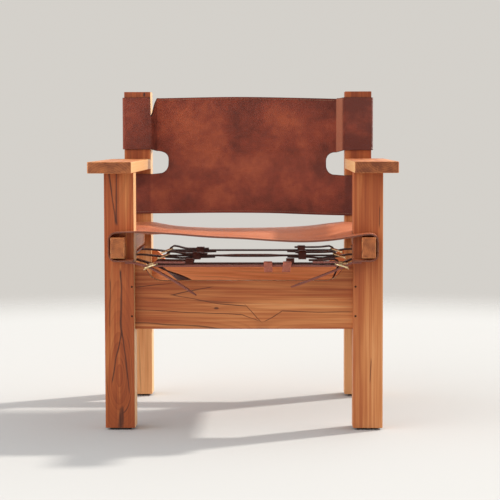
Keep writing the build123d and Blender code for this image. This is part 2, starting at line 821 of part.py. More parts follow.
# Back straps, sewn to the left wing and folded round a bar on the right
for row, height in back_row_heights.items():
    with BuildPart() as strap:
        with BuildSketch(Plane.XY.offset(height)):
            with BuildLine():
                run = FilletPolyline(
                    (-(leg_inner + tab_sewn_length + seat_flap_inset), back_bar_y - back_section.start_y),
                    (-(leg_inner - tab_leaves_inset), back_bar_y - back_section.start_y),
                    (-back_bar_x, back_bar_y + chape_inner),
                    (back_bar_x, back_bar_y + chape_inner),
                    radius=tab_bend_radius,
                )
                turn = ThreePointArc(
                    run @ 1,
                    (back_bar_x + chape_inner, back_bar_y),
                    (back_bar_x, back_bar_y - chape_inner),
                )
                Line(turn @ 1, (back_bar_x - chape_length, back_bar_y - chape_inner))
                offset(amount=strap_leather, side=Side.LEFT)
            make_face()
        extrude(amount=strap_width / 2, both=True)
        with BuildSketch(Plane.XY.offset(height)):
            with Locations((back_bar_x + (chape_outer - chape_slot_length) / 2, back_bar_y)):
                Rectangle(chape_outer + chape_slot_length, chape_outer * 3)
        extrude(amount=chape_slot_width / 2, both=True, mode=Mode.SUBTRACT)
    strap.part.label = f"back_{row}_strap"
    export_step(strap.part, f"parts/{strap.part.label}.step")


# Keepers
# A snug one holds tab, strap and fold together, or only the strap where the tail is loose.
# A hanging one is empty and hangs off the strap.
def keeper_ring(plane, top, bottom):
    with BuildSketch(plane) as ring:
        with Locations((0, (top + bottom) / 2)):
            RectangleRounded(
                strap_width + keeper_play * 2 + keeper_leather * 2,
                top - bottom + keeper_leather * 2,
                keeper_round,
            )
            RectangleRounded(
                strap_width + keeper_play * 2,
                top - bottom,
                keeper_round - keeper_leather,
                mode=Mode.SUBTRACT,
            )
    return ring.sketch


snug_top = chape_outer + lay_gap
snug_bottom = tab_underside_y - keeper_slack
hanging_top = -chape_inner + lay_gap
hanging_bottom = hanging_top - hanging_keeper_height

with BuildPart() as seat_keepers:
    for row, places in snug_keeper_places.items():
        for x in places:
            origin = (x, leg_front + row_places[row], bar_heights[row])
            across = Plane(origin=origin, x_dir=(0, 1, 0), z_dir=(1, 0, 0))
            ring = keeper_ring(across, snug_top, -snug_top if row in loose_tails else snug_bottom)
            extrude(ring, amount=keeper_width / 2, both=True)
    for x in hanging_keeper_places:
        origin = (x, leg_front + row_places["front"], bar_heights["front"])
        across = Plane(origin=origin, x_dir=(0, 1, 0), z_dir=(1, 0, 0))
        ring = keeper_ring(across, hanging_top, hanging_bottom)
        extrude(ring, amount=keeper_width / 2, both=True)
seat_keepers.part.label = "seat_keepers"
export_step(seat_keepers.part, "parts/seat_keepers.step")

with BuildPart() as back_keepers:
    for height in back_row_heights.values():
        origin = (back_keeper_place, back_bar_y, height)
        across = Plane(origin=origin, x_dir=(0, 0, 1), z_dir=(1, 0, 0))
        ring = keeper_ring(across, snug_top, snug_bottom)
        extrude(ring, amount=keeper_width / 2, both=True)
back_keepers.part.label = "back_keepers"
export_step(back_keepers.part, "parts/back_keepers.step")

print(f"front of the legs at {leg_front:.3f}, back of the posts at {post_back:.3f}")
print(f"a shut prong points {degrees(back_section.prong_dip):.1f} degrees down from its bar")
print(f"bars of the seat buckles at {bar_heights}, of the back buckles at {back_bar_y:.3f}")
print(f"straps of the back at {back_row_heights}")
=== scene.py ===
# %% [markdown]
# # A sling armchair, dressed around its CAD frame
#
# The chair is solid wood with two slings of saddle leather, and buckled straps pull both of
# them tight. The wood, the brass and the pegs already have their true shape in the CAD model,
# so they only need a finish. The leather is soft in real life, so each piece of it is cut flat
# here, laid over the frame and given its real thickness.

from math import atan2, cos, exp, pi, radians, sin, tan

import bpy
import numpy as np
from mathutils import Matrix, Vector, geometry


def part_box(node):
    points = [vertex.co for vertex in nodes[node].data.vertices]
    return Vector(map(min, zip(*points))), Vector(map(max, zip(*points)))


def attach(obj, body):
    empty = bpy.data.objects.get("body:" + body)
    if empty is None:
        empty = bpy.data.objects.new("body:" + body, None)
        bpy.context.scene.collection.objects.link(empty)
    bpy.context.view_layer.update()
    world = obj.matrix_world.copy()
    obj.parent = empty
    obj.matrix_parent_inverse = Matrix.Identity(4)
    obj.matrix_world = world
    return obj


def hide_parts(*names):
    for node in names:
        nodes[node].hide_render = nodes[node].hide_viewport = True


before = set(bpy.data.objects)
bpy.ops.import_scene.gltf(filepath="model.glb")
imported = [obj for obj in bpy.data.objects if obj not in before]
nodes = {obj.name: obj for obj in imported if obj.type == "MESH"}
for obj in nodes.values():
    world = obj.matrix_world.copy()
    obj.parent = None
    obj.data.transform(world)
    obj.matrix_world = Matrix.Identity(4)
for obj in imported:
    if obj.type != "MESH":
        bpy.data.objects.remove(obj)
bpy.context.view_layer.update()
MM = 0.001

# %% [markdown]
# ## Camera
#
# A photograph can be turned back into a camera: when enough edges of the chair are known in
# millimetres, their pixels give the place, the turn and the focal length. Those numbers are
# set here, so every piece can be compared with the photograph straight through this camera.

# %% Camera
PHOTO_WIDTH = 500
FOCAL_PIXELS = 1703.77
SENSOR_WIDTH = 36
camera_place = Vector((0.086215, -4.149360, 0.667213))
yaw, pitch, roll = 0.0184, 0.0652, 0.0022

forward = Vector((-sin(yaw) * cos(pitch), cos(yaw) * cos(pitch), -sin(pitch)))
level_right = Vector((cos(yaw), sin(yaw), 0))
level_down = forward.cross(level_right)
image_right = level_right * cos(roll) + level_down * sin(roll)
image_up = level_right * sin(roll) - level_down * cos(roll)


def add_object(name, data):
    obj = bpy.data.objects.new(name, data)
    bpy.context.scene.collection.objects.link(obj)
    return obj


camera_data = bpy.data.cameras.new("camera")
camera_data.sensor_width = SENSOR_WIDTH
camera_data.lens = FOCAL_PIXELS / PHOTO_WIDTH * SENSOR_WIDTH
camera = add_object("camera", camera_data)
turned = Matrix((image_right, image_up, -forward)).transposed().to_4x4()
camera.matrix_world = Matrix.Translation(camera_place) @ turned
bpy.context.scene.camera = camera
print("lens", round(camera_data.lens, 2), "mm")

# %% [markdown]
# ## Shader maths that reads like Python
#
# A procedural finish is arithmetic on coordinates and noise. Wrapping a socket in a small
# class lets that arithmetic be written with + and *, and each expression adds its own Math
# nodes. Any other node comes from one method: its type, its settings, then its sockets.


# %% Socket maths
COAT_ROUGHNESS = 0.3


class Wire:
    def __init__(self, finish, socket):
        self.finish, self.socket = finish, socket

    def math(self, operation, *values):
        inputs = dict(enumerate((self, *values)))
        return self.finish.node("ShaderNodeMath", {"operation": operation}, inputs)

    def __add__(self, other):
        return self.math("ADD", other)

    def __sub__(self, other):
        return self.math("SUBTRACT", other)

    def __rsub__(self, other):
        return self.math("MULTIPLY_ADD", -1, other)

    def __mul__(self, other):
        return self.math("MULTIPLY", other)

    def __truediv__(self, other):
        return self.math("DIVIDE", other)

    def __rtruediv__(self, other):
        return self.math("POWER", -1) * other

    def __pow__(self, other):
        return self.math("POWER", other)

    def __abs__(self):
        return self.math("ABSOLUTE")

    __radd__ = __add__
    __rmul__ = __mul__

    def clipped(self):
        return self.math("MAXIMUM", 0).math("MINIMUM", 1)

    def ease(self, low, high):
        """0 below low, 1 above high, smooth between. Swap the two to turn it round."""
        settings = {"interpolation_type": "SMOOTHSTEP"}
        values = {"Value": self, "From Min": min(low, high), "From Max": max(low, high)}
        eased = self.finish.node("ShaderNodeMapRange", settings, values)
        return eased if low < high else 1 - eased


class Tree:
    """Any node tree, with one method that adds a node and sets or links its inputs."""

    def __init__(self, tree):
        self.tree = tree

    def node(self, kind, settings=None, inputs=None, output=0):
        made = self.tree.nodes.new(kind)
        for name, value in (settings or {}).items():
            if name == "stops":
                self.set_stops(made.color_ramp, value)
            else:
                setattr(made, name, value)
        for key, value in (inputs or {}).items():
            if isinstance(value, Wire):
                self.tree.links.new(value.socket, made.inputs[key])
            else:
                made.inputs[key].default_value = value
        return Wire(self, made.outputs[output])

    @staticmethod
    def set_stops(ramp, stops):
        while len(ramp.elements) < len(stops):
            ramp.elements.new(1)
        for element, (place, colour) in zip(ramp.elements, stops):
            element.position = place
            element.color = (*colour, 1)

    def link(self, wire, node, socket):
        self.tree.links.new(wire.socket, node.inputs[socket])

    def parts(self, vector):
        split = self.node("ShaderNodeSeparateXYZ", inputs={0: vector})
        return [Wire(self, socket) for socket in split.socket.node.outputs]

    def joined(self, x, y, z):
        return self.node("ShaderNodeCombineXYZ", inputs={0: x, 1: y, 2: z})

    def vector_maths(self, operation, a, b, output=0):
        return self.node("ShaderNodeVectorMath", {"operation": operation}, {0: a, 1: b}, output)

    def noise(self, vector, scale, detail=2.0, roughness=0.5, distortion=0.0):
        inputs = {"Vector": vector, "Scale": scale, "Detail": detail}
        inputs |= {"Roughness": roughness, "Distortion": distortion}
        return self.node("ShaderNodeTexNoise", inputs=inputs)

    def ramp(self, factor, stops):
        return self.node("ShaderNodeValToRGB", {"stops": stops}, {"Fac": factor})

    def mix(self, factor, a, b):
        a, b = (c if isinstance(c, Wire) else (*c, 1) for c in (a, b))
        inputs = {0: factor, 6: a, 7: b}
        return self.node("ShaderNodeMix", {"data_type": "RGBA"}, inputs, output=2)


class Finish(Tree):
    """A material whose Principled shader is fed by wires."""

    def __init__(self, name, roughness=0.5, metallic=0.0, coat=0.0, specular=0.5):
        self.material = bpy.data.materials.new(name)
        self.material.use_nodes = True
        super().__init__(self.material.node_tree)
        self.shader = self.tree.nodes["Principled BSDF"]
        looks = {"Roughness": roughness, "Metallic": metallic, "Specular IOR Level": specular}
        looks |= {"Coat Weight": coat, "Coat Roughness": COAT_ROUGHNESS}
        for socket, value in looks.items():
            self.shader.inputs[socket].default_value = value

    def feed(self, socket, wire):
        self.link(wire, self.shader, socket)

    def place(self):
        return self.node("ShaderNodeTexCoord", output="Object")

    def cut_place(self):
        """Where a point was on the flat hide, in metres, from the piece's own UV map."""
        return self.node("ShaderNodeUVMap", {"uv_map": "cut"})

    def bump(self, height, distance, strength=1.0):
        inputs = {"Height": height, "Distance": distance, "Strength": strength}
        self.feed("Normal", self.node("ShaderNodeBump", inputs=inputs))


def speckled(name, scale, detail, low, high, **looks):
    """A finish that varies between two colours with a fine noise, and that noise."""
    finish = Finish(name, **looks)
    speck = finish.noise(finish.place(), scale, detail=detail)
    finish.feed("Base Color", finish.mix(speck, low, high))
    return finish, speck


print("shader maths ready")

# %% [markdown]
# ## Light, floor and background
#
# The light is plain and soft: a pale world all round, a little brighter towards a window
# behind the chair's right side and towards the pale wall that answers it. The background's
# paleness is only its colour for camera rays, so it adds no light to the chair.

# %% World
WALL = (0.66, 0.635, 0.595)
SKY = (1.0, 0.985, 0.96)
SKY_BASE, WINDOW_GLOW, WALL_GLOW = 0.42, 1.7, 2.2
WINDOW_WAY, WALL_WAY = (0.80, 0.52, 0.30), (-0.92, -0.38, 0.20)

world = bpy.data.worlds.new("studio")
world.use_nodes = True
bpy.context.scene.world = world
world.node_tree.nodes.clear()
sky = Tree(world.node_tree)
way = sky.node("ShaderNodeTexCoord", output="Generated")


def glow(towards, strength):
    """A soft bright side of the room."""
    facing = sky.vector_maths("DOT_PRODUCT", way, tuple(Vector(towards).normalized()), "Value")
    return facing.clipped() ** 2 * strength


lit_strength = glow(WINDOW_WAY, WINDOW_GLOW) + glow(WALL_WAY, WALL_GLOW) + SKY_BASE
lit = sky.node("ShaderNodeBackground", {}, {"Color": (*SKY, 1), "Strength": lit_strength})
seen = sky.node("ShaderNodeBackground", {}, {"Color": (*WALL, 1), "Strength": 1})
camera_ray = sky.node("ShaderNodeLightPath", output="Is Camera Ray")
chosen = sky.node("ShaderNodeMixShader", {}, {0: camera_ray, 1: lit, 2: seen})
world_out = world.node_tree.nodes.new("ShaderNodeOutputWorld")
sky.link(chosen, world_out, "Surface")
print("world has", len(world.node_tree.nodes), "nodes")

# %% [markdown]
# One sun with soft edges shines through the same window. It stands about 40 degrees high, so
# it passes under the arm, reaches the seat and throws the shadow forwards and to the left.

# %% Sun
SUN_STRENGTH, SUN_COLOUR = 3.3, (1.0, 0.94, 0.84)
SUN_SOFTNESS = radians(3.5)
to_sun = Vector((1, 0.62, 0.97))

sun_data = bpy.data.lights.new("sun", "SUN")
sun_data.energy = SUN_STRENGTH
sun_data.angle = SUN_SOFTNESS
sun_data.color = SUN_COLOUR
sun = add_object("sun", sun_data)
sun.rotation_euler = to_sun.to_track_quat("Z", "Y").to_euler()
bpy.context.scene.view_settings.view_transform = "Standard"
print("sun stands", round(to_sun.z / to_sun.xy.length, 2), "high for 1 along")

# %% [markdown]
# The floor is a wide pale disc. It keeps the shadow, and towards its rim it turns see-through,
# so it melts into the background without a line.

# %% Floor
FLOOR_RADIUS, FLOOR_FADE, RIM_POINTS = 3.4, 1.3, 96
FLOOR_COLOUR = (0.495, 0.50, 0.505)


def add_mesh(name, vertices, faces=(), links=()):
    mesh = bpy.data.meshes.new(name)
    mesh.from_pydata([tuple(v) for v in vertices], links, [tuple(f) for f in faces])
    mesh.update()
    return add_object(name, mesh)


rim = [2 * pi * i / RIM_POINTS for i in range(RIM_POINTS)]
rim_places = [(FLOOR_RADIUS * cos(a), FLOOR_RADIUS * sin(a), 0) for a in rim]
floor = add_mesh("floor", rim_places, [range(RIM_POINTS)])
pale = Finish("pale_floor", roughness=0.9, specular=0.2)
pale.shader.inputs["Base Color"].default_value = (*FLOOR_COLOUR, 1)
from_middle = pale.vector_maths("LENGTH", pale.place(), (0, 0, 0), "Value")
pale.feed("Alpha", from_middle.ease(FLOOR_RADIUS, FLOOR_RADIUS - FLOOR_FADE))
floor.data.materials.append(pale.material)
print("floor is", FLOOR_RADIUS * 2, "m across")

# %% [markdown]
# ## Oiled wood
#
# Grain is the record of growth rings, which are nested tubes round the heart of the tree. So
# the pattern is not painted on each face: every board gets its own heart line, a little tilted
# against the board, and the distance from that line picks the ring. Long sides then show
# stripes, a tilted cut shows the pointed cathedral figure, and an end shows arcs, as a saw
# would find them. Noise stretched along the grain bends the rings and adds the fibres.

# %% Wood grain
GRAIN_ORDER = {"x": (0, 1, 2), "y": (1, 0, 2), "z": (2, 0, 1)}
# How often each noise changes per metre, along and across the grain, and its detail
GRAIN_NOISES = {
    "wander": (11, 60, 1), "streak": (4, 210, 3), "band": (3, 55, 2),
    "fibre": (22, 1300, 2), "patch": (2.2, 10, 3), "fade": (7, 25, 1),
}
BEND_NOISE, BEND_OFFSET, BEND_REACH = (2.6, 9), (7.3, 2.9, 5.1), 3
KNOT_SQUEEZE = 0.5
STREAK_OVER, STREAK_TAPER, STREAK_RAGGED, STREAK_CORE = 8, 6, 3.5, 0.2
STREAK_UNEVEN, STREAK_LEAST = 1.1, 0.3


class Wood(Finish):
    """A finish that knows which way the grain runs."""

    def __init__(self, name, grain):
        super().__init__(name, roughness=0.5, specular=0.32)
        self.order = GRAIN_ORDER[grain]
        self.here = self.place()
        axes = self.parts(self.here)
        self.along, self.across, self.deep = (axes[i] for i in self.order)
        self.height = axes[2]
        self.beside = self.deep if grain == "x" else self.across
        self.grain = {
            noise: self.noise(self.stretched(along, across), 1, detail=detail)
            for noise, (along, across, detail) in GRAIN_NOISES.items()
        }

    def stretched(self, along, across):
        return self.joined(self.along * along, self.across * across, self.deep * across)

    def heart_distance(self, heart, tilt, warp, bow):
        """Distance from the heart line, which noise bends a little."""
        slow = self.stretched(*BEND_NOISE)
        shifted = self.vector_maths("ADD", slow, BEND_OFFSET)
        bends = self.noise(slow, 1, detail=2), self.noise(shifted, 1)
        a, b = (
            axis - at * MM - self.along * slope + (bend - 0.5) * (warp * MM * BEND_REACH)
            for axis, at, slope, bend in zip((self.across, self.deep), heart, tilt, bends)
        )
        if bow:
            off_middle = self.along - bow[0] * MM
            b = b + off_middle * off_middle * bow[1]
        return (a * a + b * b) ** 0.5

    def knot_pull(self, centre, size):
        """1 at a knot and falling off round it, slower along the grain."""
        away = self.vector_maths("SUBTRACT", self.here, tuple(value * MM for value in centre))
        squeeze = [1, 1, 1]
        squeeze[self.order[0]] = KNOT_SQUEEZE
        away = self.vector_maths("MULTIPLY", away, tuple(squeeze))
        near = self.vector_maths("LENGTH", away, (0, 0, 0), "Value") / (size * MM)
        return 1 / (near * near + 1)

    def streak_mark(self, start, end, first, last, half_width):
        """A dark mark from start to end along the grain. Its middle goes from first to last
        beside the grain, and its breadth is twice half_width."""
        share = (self.along - start * MM) / ((end - start) * MM)
        centre = share * ((last - first) * MM) + first * MM
        wide = half_width * MM
        ragged = centre + (self.grain["wander"] - 0.5) * (wide * STREAK_RAGGED)
        rises = self.along.ease((start - STREAK_OVER) * MM, (start + STREAK_TAPER) * MM)
        falls = self.along.ease((end + STREAK_OVER) * MM, (end - STREAK_TAPER) * MM)
        mark = abs(self.beside - ragged).ease(wide, wide * STREAK_CORE) * rises * falls
        return mark * (self.grain["streak"] * STREAK_UNEVEN + STREAK_LEAST)

    def facing(self, way):
        """1 on a side that faces this way, -1 on the opposite one."""
        normal = self.node("ShaderNodeNewGeometry", output="Normal")
        return self.vector_maths("DOT_PRODUCT", normal, way, "Value")


print(len(GRAIN_NOISES), "grain noises")

# %% [markdown]
# The colour then builds up in layers, as it does on the real board: the broad pale and dark
# patches first, then the thin dark line that ends each year, the fibres, the knots and the
# streaks, and last the faces that differ. These are the end grain, and a side that the sun
# lights, which is painted paler as painted sunlight.

# %% Wood finish
# The palest stop is pale wood, and where the rise or a high tone reaches it, painted sunlight.
PALEST_AND_SUNLIT_WOOD, PALE_WOOD = (0.720, 0.340, 0.140), (0.540, 0.195, 0.062)
MID_WOOD, DEEP_WOOD = (0.370, 0.090, 0.024), (0.225, 0.045, 0.013)
WOOD_RANGE = ((0.0, DEEP_WOOD), (0.38, MID_WOOD), (0.68, PALE_WOOD), (1.0, PALEST_AND_SUNLIT_WOOD))
DARK_LINE = (0.065, 0.018, 0.010)
PALE_END, DARK_END = (0.480, 0.152, 0.045), (0.150, 0.036, 0.012)
# Painted sunlight: the colour that a side facing the sun is painted towards.
PAINTED_SUNLIT_WOOD = (0.76, 0.480, 0.225)
PATCH_SHARE, YEAR_SHARE, BAND_SHARE = 0.9, 0.16, 0.9
RING_WANDER = 0.5
LATE_RISES, LATE_FALLS = (0.45, 0.90), (1.0, 0.93)
DARK_YEARS, DARK_PLACES = (0.70, 0.86), (0.38, 0.60)
DARK_YEAR, OTHER_YEAR = 0.85, 0.14
FIBRE_SHOWS, FIBRE_DARK = (0.60, 0.80), 0.30
KNOT_SPOT = (0.62, 0.9)
LIT_SIDE_FACES, LIT_SIDE_SHARE, LIT_SIDE_STREAK = (0.6, 0.9), 0.9, 0.30
END_FACES, END_SHARE, END_PORES, END_BLOTCHES = (0.8, 0.95), 0.95, 420, 60
FIBRE_DEEP = 0.00012


def wood(
    name, grain, heart, tilt=(0, 0), bow=None, ring=5.0, warp=3.0, tone=0.5, painted_light_rise=0.0,
    lines=0.8, fine=0.75, knots=(), streaks=(), end_tone=0.5, painted_lit_side=None, tint=None,
):
    """Lengths are in mm. heart is where the heart line crosses 0 along the grain, tilt its
    slope, and bow its middle and how fast it leaves the straight, per metre. The rise is how
    much paler the wood gets per metre of height, which is painted light from the sun and the
    bright floor. The lit side is the way a face points to be painted paler, as painted sunlight.
    A knot has its centre, size, pull on the rings and darkness. A streak has the five values of
    streak_mark."""
    finish = Wood(name, grain)
    wander, streak, band, fibre, patch, fade = (finish.grain[noise] for noise in GRAIN_NOISES)
    radius = finish.heart_distance(heart, tilt, warp, bow)
    marks = []
    for centre, size, pull, darkness in knots:
        near = finish.knot_pull(centre, size)
        radius = radius + near * (pull * MM)
        marks.append(near.ease(*KNOT_SPOT) * darkness)
    count = radius / (ring * MM) + wander * RING_WANDER
    turn, year = count.math("FRACT"), count.math("FLOOR")
    luck = finish.node("ShaderNodeTexWhiteNoise", {"noise_dimensions": "1D"}, {"W": year})
    late = turn.ease(*LATE_RISES) * turn.ease(*LATE_FALLS)
    strong = luck.ease(*DARK_YEARS) * fade.ease(*DARK_PLACES)
    year_line = late * (strong * DARK_YEAR + OTHER_YEAR) * lines
    marks = [year_line, fibre.ease(*FIBRE_SHOWS) * FIBRE_DARK] + marks
    marks += [finish.streak_mark(*each) for each in streaks]

    # Painted light: the rise makes the wood paler or darker with height, for the sun and floor.
    body = finish.height * painted_light_rise + tone + (patch - 0.5) * PATCH_SHARE
    body = body + (luck - 0.5) * YEAR_SHARE
    body = body + (streak - 0.5) * fine + (band - 0.5) * (fine * BAND_SHARE)
    colour = finish.ramp(body.clipped(), WOOD_RANGE)
    if tint:
        colour = finish.vector_maths("MULTIPLY", colour, tint)
    for mark in marks:
        colour = finish.mix(mark.clipped(), colour, DARK_LINE)
    # Painted light: a side that faces the sun, or a top in a grazing highlight, is painted paler.
    if painted_lit_side:
        painted_sunlit = finish.mix(streak * LIT_SIDE_STREAK, PAINTED_SUNLIT_WOOD, PALE_WOOD)
        at_lit_side = finish.facing(painted_lit_side).ease(*LIT_SIDE_FACES) * LIT_SIDE_SHARE
        colour = finish.mix(at_lit_side, colour, painted_sunlit)

    pores = finish.noise(finish.here, END_PORES, detail=3)
    blotch = finish.noise(finish.here, END_BLOTCHES, detail=2)
    end_level = (pores - 0.5) * 0.7 + (blotch - 0.5) * 1.4 + end_tone - late * 0.25
    end_colour = finish.mix(end_level.clipped(), DARK_END, PALE_END)
    end_way = tuple(int(axis == finish.order[0]) for axis in range(3))
    at_end = abs(finish.facing(end_way)).ease(*END_FACES) * END_SHARE
    finish.feed("Base Color", finish.mix(at_end, colour, end_colour))
    finish.feed("Roughness", 0.42 + fibre * 0.18 + late * 0.06)
    finish.bump(fibre * 0.7 + late * 0.3, FIBRE_DEEP, strength=0.6)
    return finish.material


def dress(node, material):
    obj = nodes[node]
    obj.data.materials.clear()
    obj.data.materials.append(material)


print("wood finish ready")

# %% [markdown]
# Every member gets its own cut of the tree. The left leg has a bow in its heart line and dark
# streaks, and the front board has a knot near its lower edge with the grain bent round it. The
# rear posts are painted paler towards the floor, which is painted light from the sun and the
# bright floor.

# %% Wood for each member
# Painted light: a negative rise paints a member paler towards the floor, where the sun and the
# bright floor light it, and a lit side paints the faces that the sun lights paler.
wood_members = {
    "front_leg_left": dict(
        grain="z", heart=(-286, -226), ring=4.4, tone=0.37, painted_light_rise=0.10, bow=(465, 0.42),
        lines=0.9, warp=2.5, end_tone=0.8, painted_lit_side=(1, 0, 0), tint=(1, 0.94, 0.86),
        streaks=(
            (474, 590, -289.5, -308, 2.4), (476, 590, -290.5, -288, 3.2),
            (216, 368, -280, -282, 3.6), (112, 228, -302, -280, 2.2),
            (88, 228, -262, -279, 2.2), (240, 345, -306, -305, 1.6), (4, 52, -282, -280, 6.5),
        ),
    ),
    "front_leg_right": dict(
        grain="z", heart=(150, -262), ring=4.5, tone=0.76, painted_light_rise=-0.85, warp=1.6, lines=0.5,
        streaks=((112, 162, 289, 290, 1.6), (468, 512, 309, 310, 2.6)),
    ),
    # Painted sunlight: a high tone and a steep negative rise make both rear posts pale near the
    # floor.
    "rear_post_left": dict(
        grain="z", heart=(-330, 330), tilt=(0.02, 0.02), tone=1.10, painted_light_rise=-1.13, lines=0.4,
        painted_lit_side=(1, 0, 0), knots=(((-266, 245.5, 781), 5, 6, 1.0),),
    ),
    "rear_post_right": dict(
        grain="z", heart=(400, 300), tilt=(-0.01, 0.02), tone=1.30, painted_light_rise=-1.42, lines=0.4
    ),
    "armrest_left": dict(
        grain="y", heart=(-300, 560), tilt=(0.01, 0.0), tone=0.66, end_tone=0.55,
        painted_lit_side=(1, 0, 0),
    ),
    "armrest_right": dict(
        grain="y", heart=(310, 640), tilt=(-0.02, 0.01), tone=0.55, end_tone=0.30,
        painted_lit_side=(-1, 0, 0),
    ),
    "side_rail_left": dict(grain="y", heart=(-300, 380), ring=4, tone=0.6, end_tone=0.62),
    "side_rail_right": dict(grain="y", heart=(330, 400), ring=4, tone=0.7, end_tone=0.62),
    # Painted light: the board is painted paler towards the floor and on its top face.
    "front_board": dict(
        grain="x", heart=(-215, 40), tilt=(0, -0.05), ring=10, warp=6, tone=1.11,
        painted_light_rise=-2.0, lines=0.9, fine=0.8, painted_lit_side=(0, 0, 1),
        knots=(((43, -254, 226), 15, 34, 0.35), ((-63, -254, 279), 5, 6, 0.8)),
        streaks=(
            (-250, -165, 328, 336, 1.3), (-165, -75, 311, 328, 1.6),
            (-165, -56, 311, 288, 1.5), (-56, 6, 288, 283, 1.8), (6, 38, 283, 249, 1.8),
            (48, 88, 249, 271, 1.4), (88, 248, 271, 270, 1.4),
            (-250, -4, 276, 264, 1.2), (-4, 34, 264, 250, 1.2),
        ),
    ),
    # Painted sunlight: a high tone and a bright red tint stand in for the sun on the rear board.
    "rear_board": dict(
        grain="x", heart=(330, 160), tilt=(0.04, -0.05), ring=9, warp=6, tone=1.02,
        lines=0.3, tint=(1.16, 0.86, 0.78),
    ),
}
for node, look in wood_members.items():
    dress(node, wood(f"wood_{node}", **look))
dress("rail_pegs", wood("wood_rail_pegs", "x", (0, 400), tone=0.3))
dress("arm_dowels", wood("wood_arm_dowels", "z", (0, 0), tone=0.8))
print(len(wood_members) + 2, "kinds of wood")

# %% [markdown]
# ## Pegs, glides, nails and brass
#
# The board pegs are a dark wood, so they show as small dots at the legs' inner edges. The
# glides are moulded rubber and the nails plain steel. The buckles are cast brass that hands
# have kept bright on the high parts, while the hollows stay brown.

# %% Small hardware
peg, pores = speckled(
    "dark_peg_wood", 900, 3, (0.028, 0.012, 0.008), (0.085, 0.034, 0.018),
    roughness=0.75, specular=0.1,
)
peg.bump(pores, 0.0001)
dress("board_pegs", peg.material)

rubber, grit = speckled(
    "glide_rubber", 700, 3, (0.018, 0.017, 0.016), (0.045, 0.043, 0.04), roughness=0.75
)
rubber.feed("Roughness", 0.65 + grit * 0.2)
rubber.bump(grit, 0.00008)
dress("glides", rubber.material)

steel, scuff = speckled(
    "nail_steel", 1200, 2, (0.30, 0.30, 0.30), (0.56, 0.55, 0.53), roughness=0.38, metallic=1.0
)
steel.feed("Roughness", 0.3 + scuff * 0.25)
dress("glide_nails", steel.material)

brass = Finish("worn_brass", roughness=0.25, metallic=1.0)
brass_place = brass.place()
tarnish = brass.noise(brass_place, 190, detail=3, roughness=0.6)
hairline = brass.noise(brass_place, 2600, detail=1)
BRASS_RANGE = (
    (0.28, (0.40, 0.25, 0.10)), (0.46, (0.88, 0.68, 0.36)), (0.65, (1.0, 0.86, 0.58))
)
brass.feed("Base Color", brass.ramp(tarnish, BRASS_RANGE))
brass.feed("Roughness", 0.36 - tarnish * 0.22 + hairline * 0.08)
brass.bump(hairline * 0.4 + tarnish * 0.6, 0.00006)
for node in nodes:
    if node.endswith(("_buckle", "_prong")):
        dress(node, brass.material)
print("hardware dressed")

# %% [markdown]
# ## Cutting leather flat
#
# Every strap and sling starts as a flat piece of hide. Its outline and holes are drawn in
# millimetres, a grid of points fills it, and a Delaunay triangulation joins the points. A
# second function then says where each flat point lies on the chair. The flat coordinates stay
# on the mesh as its UV map, so grain and colour follow the hide, and each point also keeps its
# distance from the cut edge, because the edges are burnished darker than the face.


# %% Flat cutting
GRID_CLEAR = 0.8
EDGE_ANGLE = radians(50)


def ease(value, low, high):
    """0 at low, 1 at high, smooth between."""
    share = min(max((value - low) / (high - low), 0), 1)
    return share * share * (3 - 2 * share)


def cut_at_lines(outline, columns, rows, least=0.3):
    """The outline with extra points where it crosses the grid, so the grid joins it cleanly."""
    points = []
    for start, end in zip(outline, outline[1:] + outline[:1]):
        run = end - start
        shares = {0.0}
        for axis, lines in ((0, columns), (1, rows)):
            if abs(run[axis]) > least:
                shares |= {(line - start[axis]) / run[axis] for line in lines}
        last = -1.0
        for share in sorted(s for s in shares if 0 <= s < 1):
            near_last = (share - last) * run.length < least
            near_end = (1 - share) * run.length < least
            if not (near_last or near_end) or share == 0:
                points.append(start.lerp(end, share))
                last = share
    return points


def within(points, starts, ends):
    """Which points are inside the outline and outside its holes, by counting crossings."""
    x, y = points[:, :1], points[:, 1:]
    (ax, ay), (bx, by) = starts.T, ends.T
    crosses = (ay > y) != (by > y)
    rise = np.where(by == ay, 1, by - ay)
    return (crosses & (x < ax + (bx - ax) * (y - ay) / rise)).sum(axis=1) % 2 == 1


def edge_distance(points, starts, ends):
    run = ends - starts
    away = points[:, None, :] - starts[None]
    share = (away * run).sum(axis=2) / np.maximum((run * run).sum(axis=1), 1e-12)
    gap = away - np.clip(share, 0, 1)[:, :, None] * run
    return np.sqrt((gap * gap).sum(axis=2)).min(axis=1)


def cut_hide(outline, holes, columns, rows):
    """Points, triangles and distances from the edge of one flat piece, all in mm."""
    loops = [cut_at_lines([Vector(p) for p in loop], columns, rows) for loop in (outline, *holes)]
    starts = np.array([p for loop in loops for p in loop])
    ends = np.array([p for loop in loops for p in loop[1:] + loop[:1]])
    links, first = [], 0
    for loop in loops:
        links += [(first + i, first + (i + 1) % len(loop)) for i in range(len(loop))]
        first += len(loop)
    grid = np.array([(x, y) for x in columns for y in rows])
    grid = grid[within(grid, starts, ends)]
    grid = grid[edge_distance(grid, starts, ends) > GRID_CLEAR]
    every = [Vector(p) for p in np.concatenate([starts, grid])]
    points, _, faces, *_ = geometry.delaunay_2d_cdt(every, links, [], 0, 1e-6)
    flat = np.array(points)
    middles = flat[np.array(faces)].mean(axis=1)
    faces = [f for f, keep in zip(faces, within(middles, starts, ends)) if keep]
    return flat, faces, edge_distance(flat, starts, ends)


def steps(low, high, step):
    count = max(1, round(abs(high - low) / step))
    return [low + (high - low) * i / count for i in range(count + 1)]


def modify(obj, name, kind, **settings):
    modifier = obj.modifiers.new(name, kind)
    for setting, value in settings.items():
        setattr(modifier, setting, value)
    return modifier


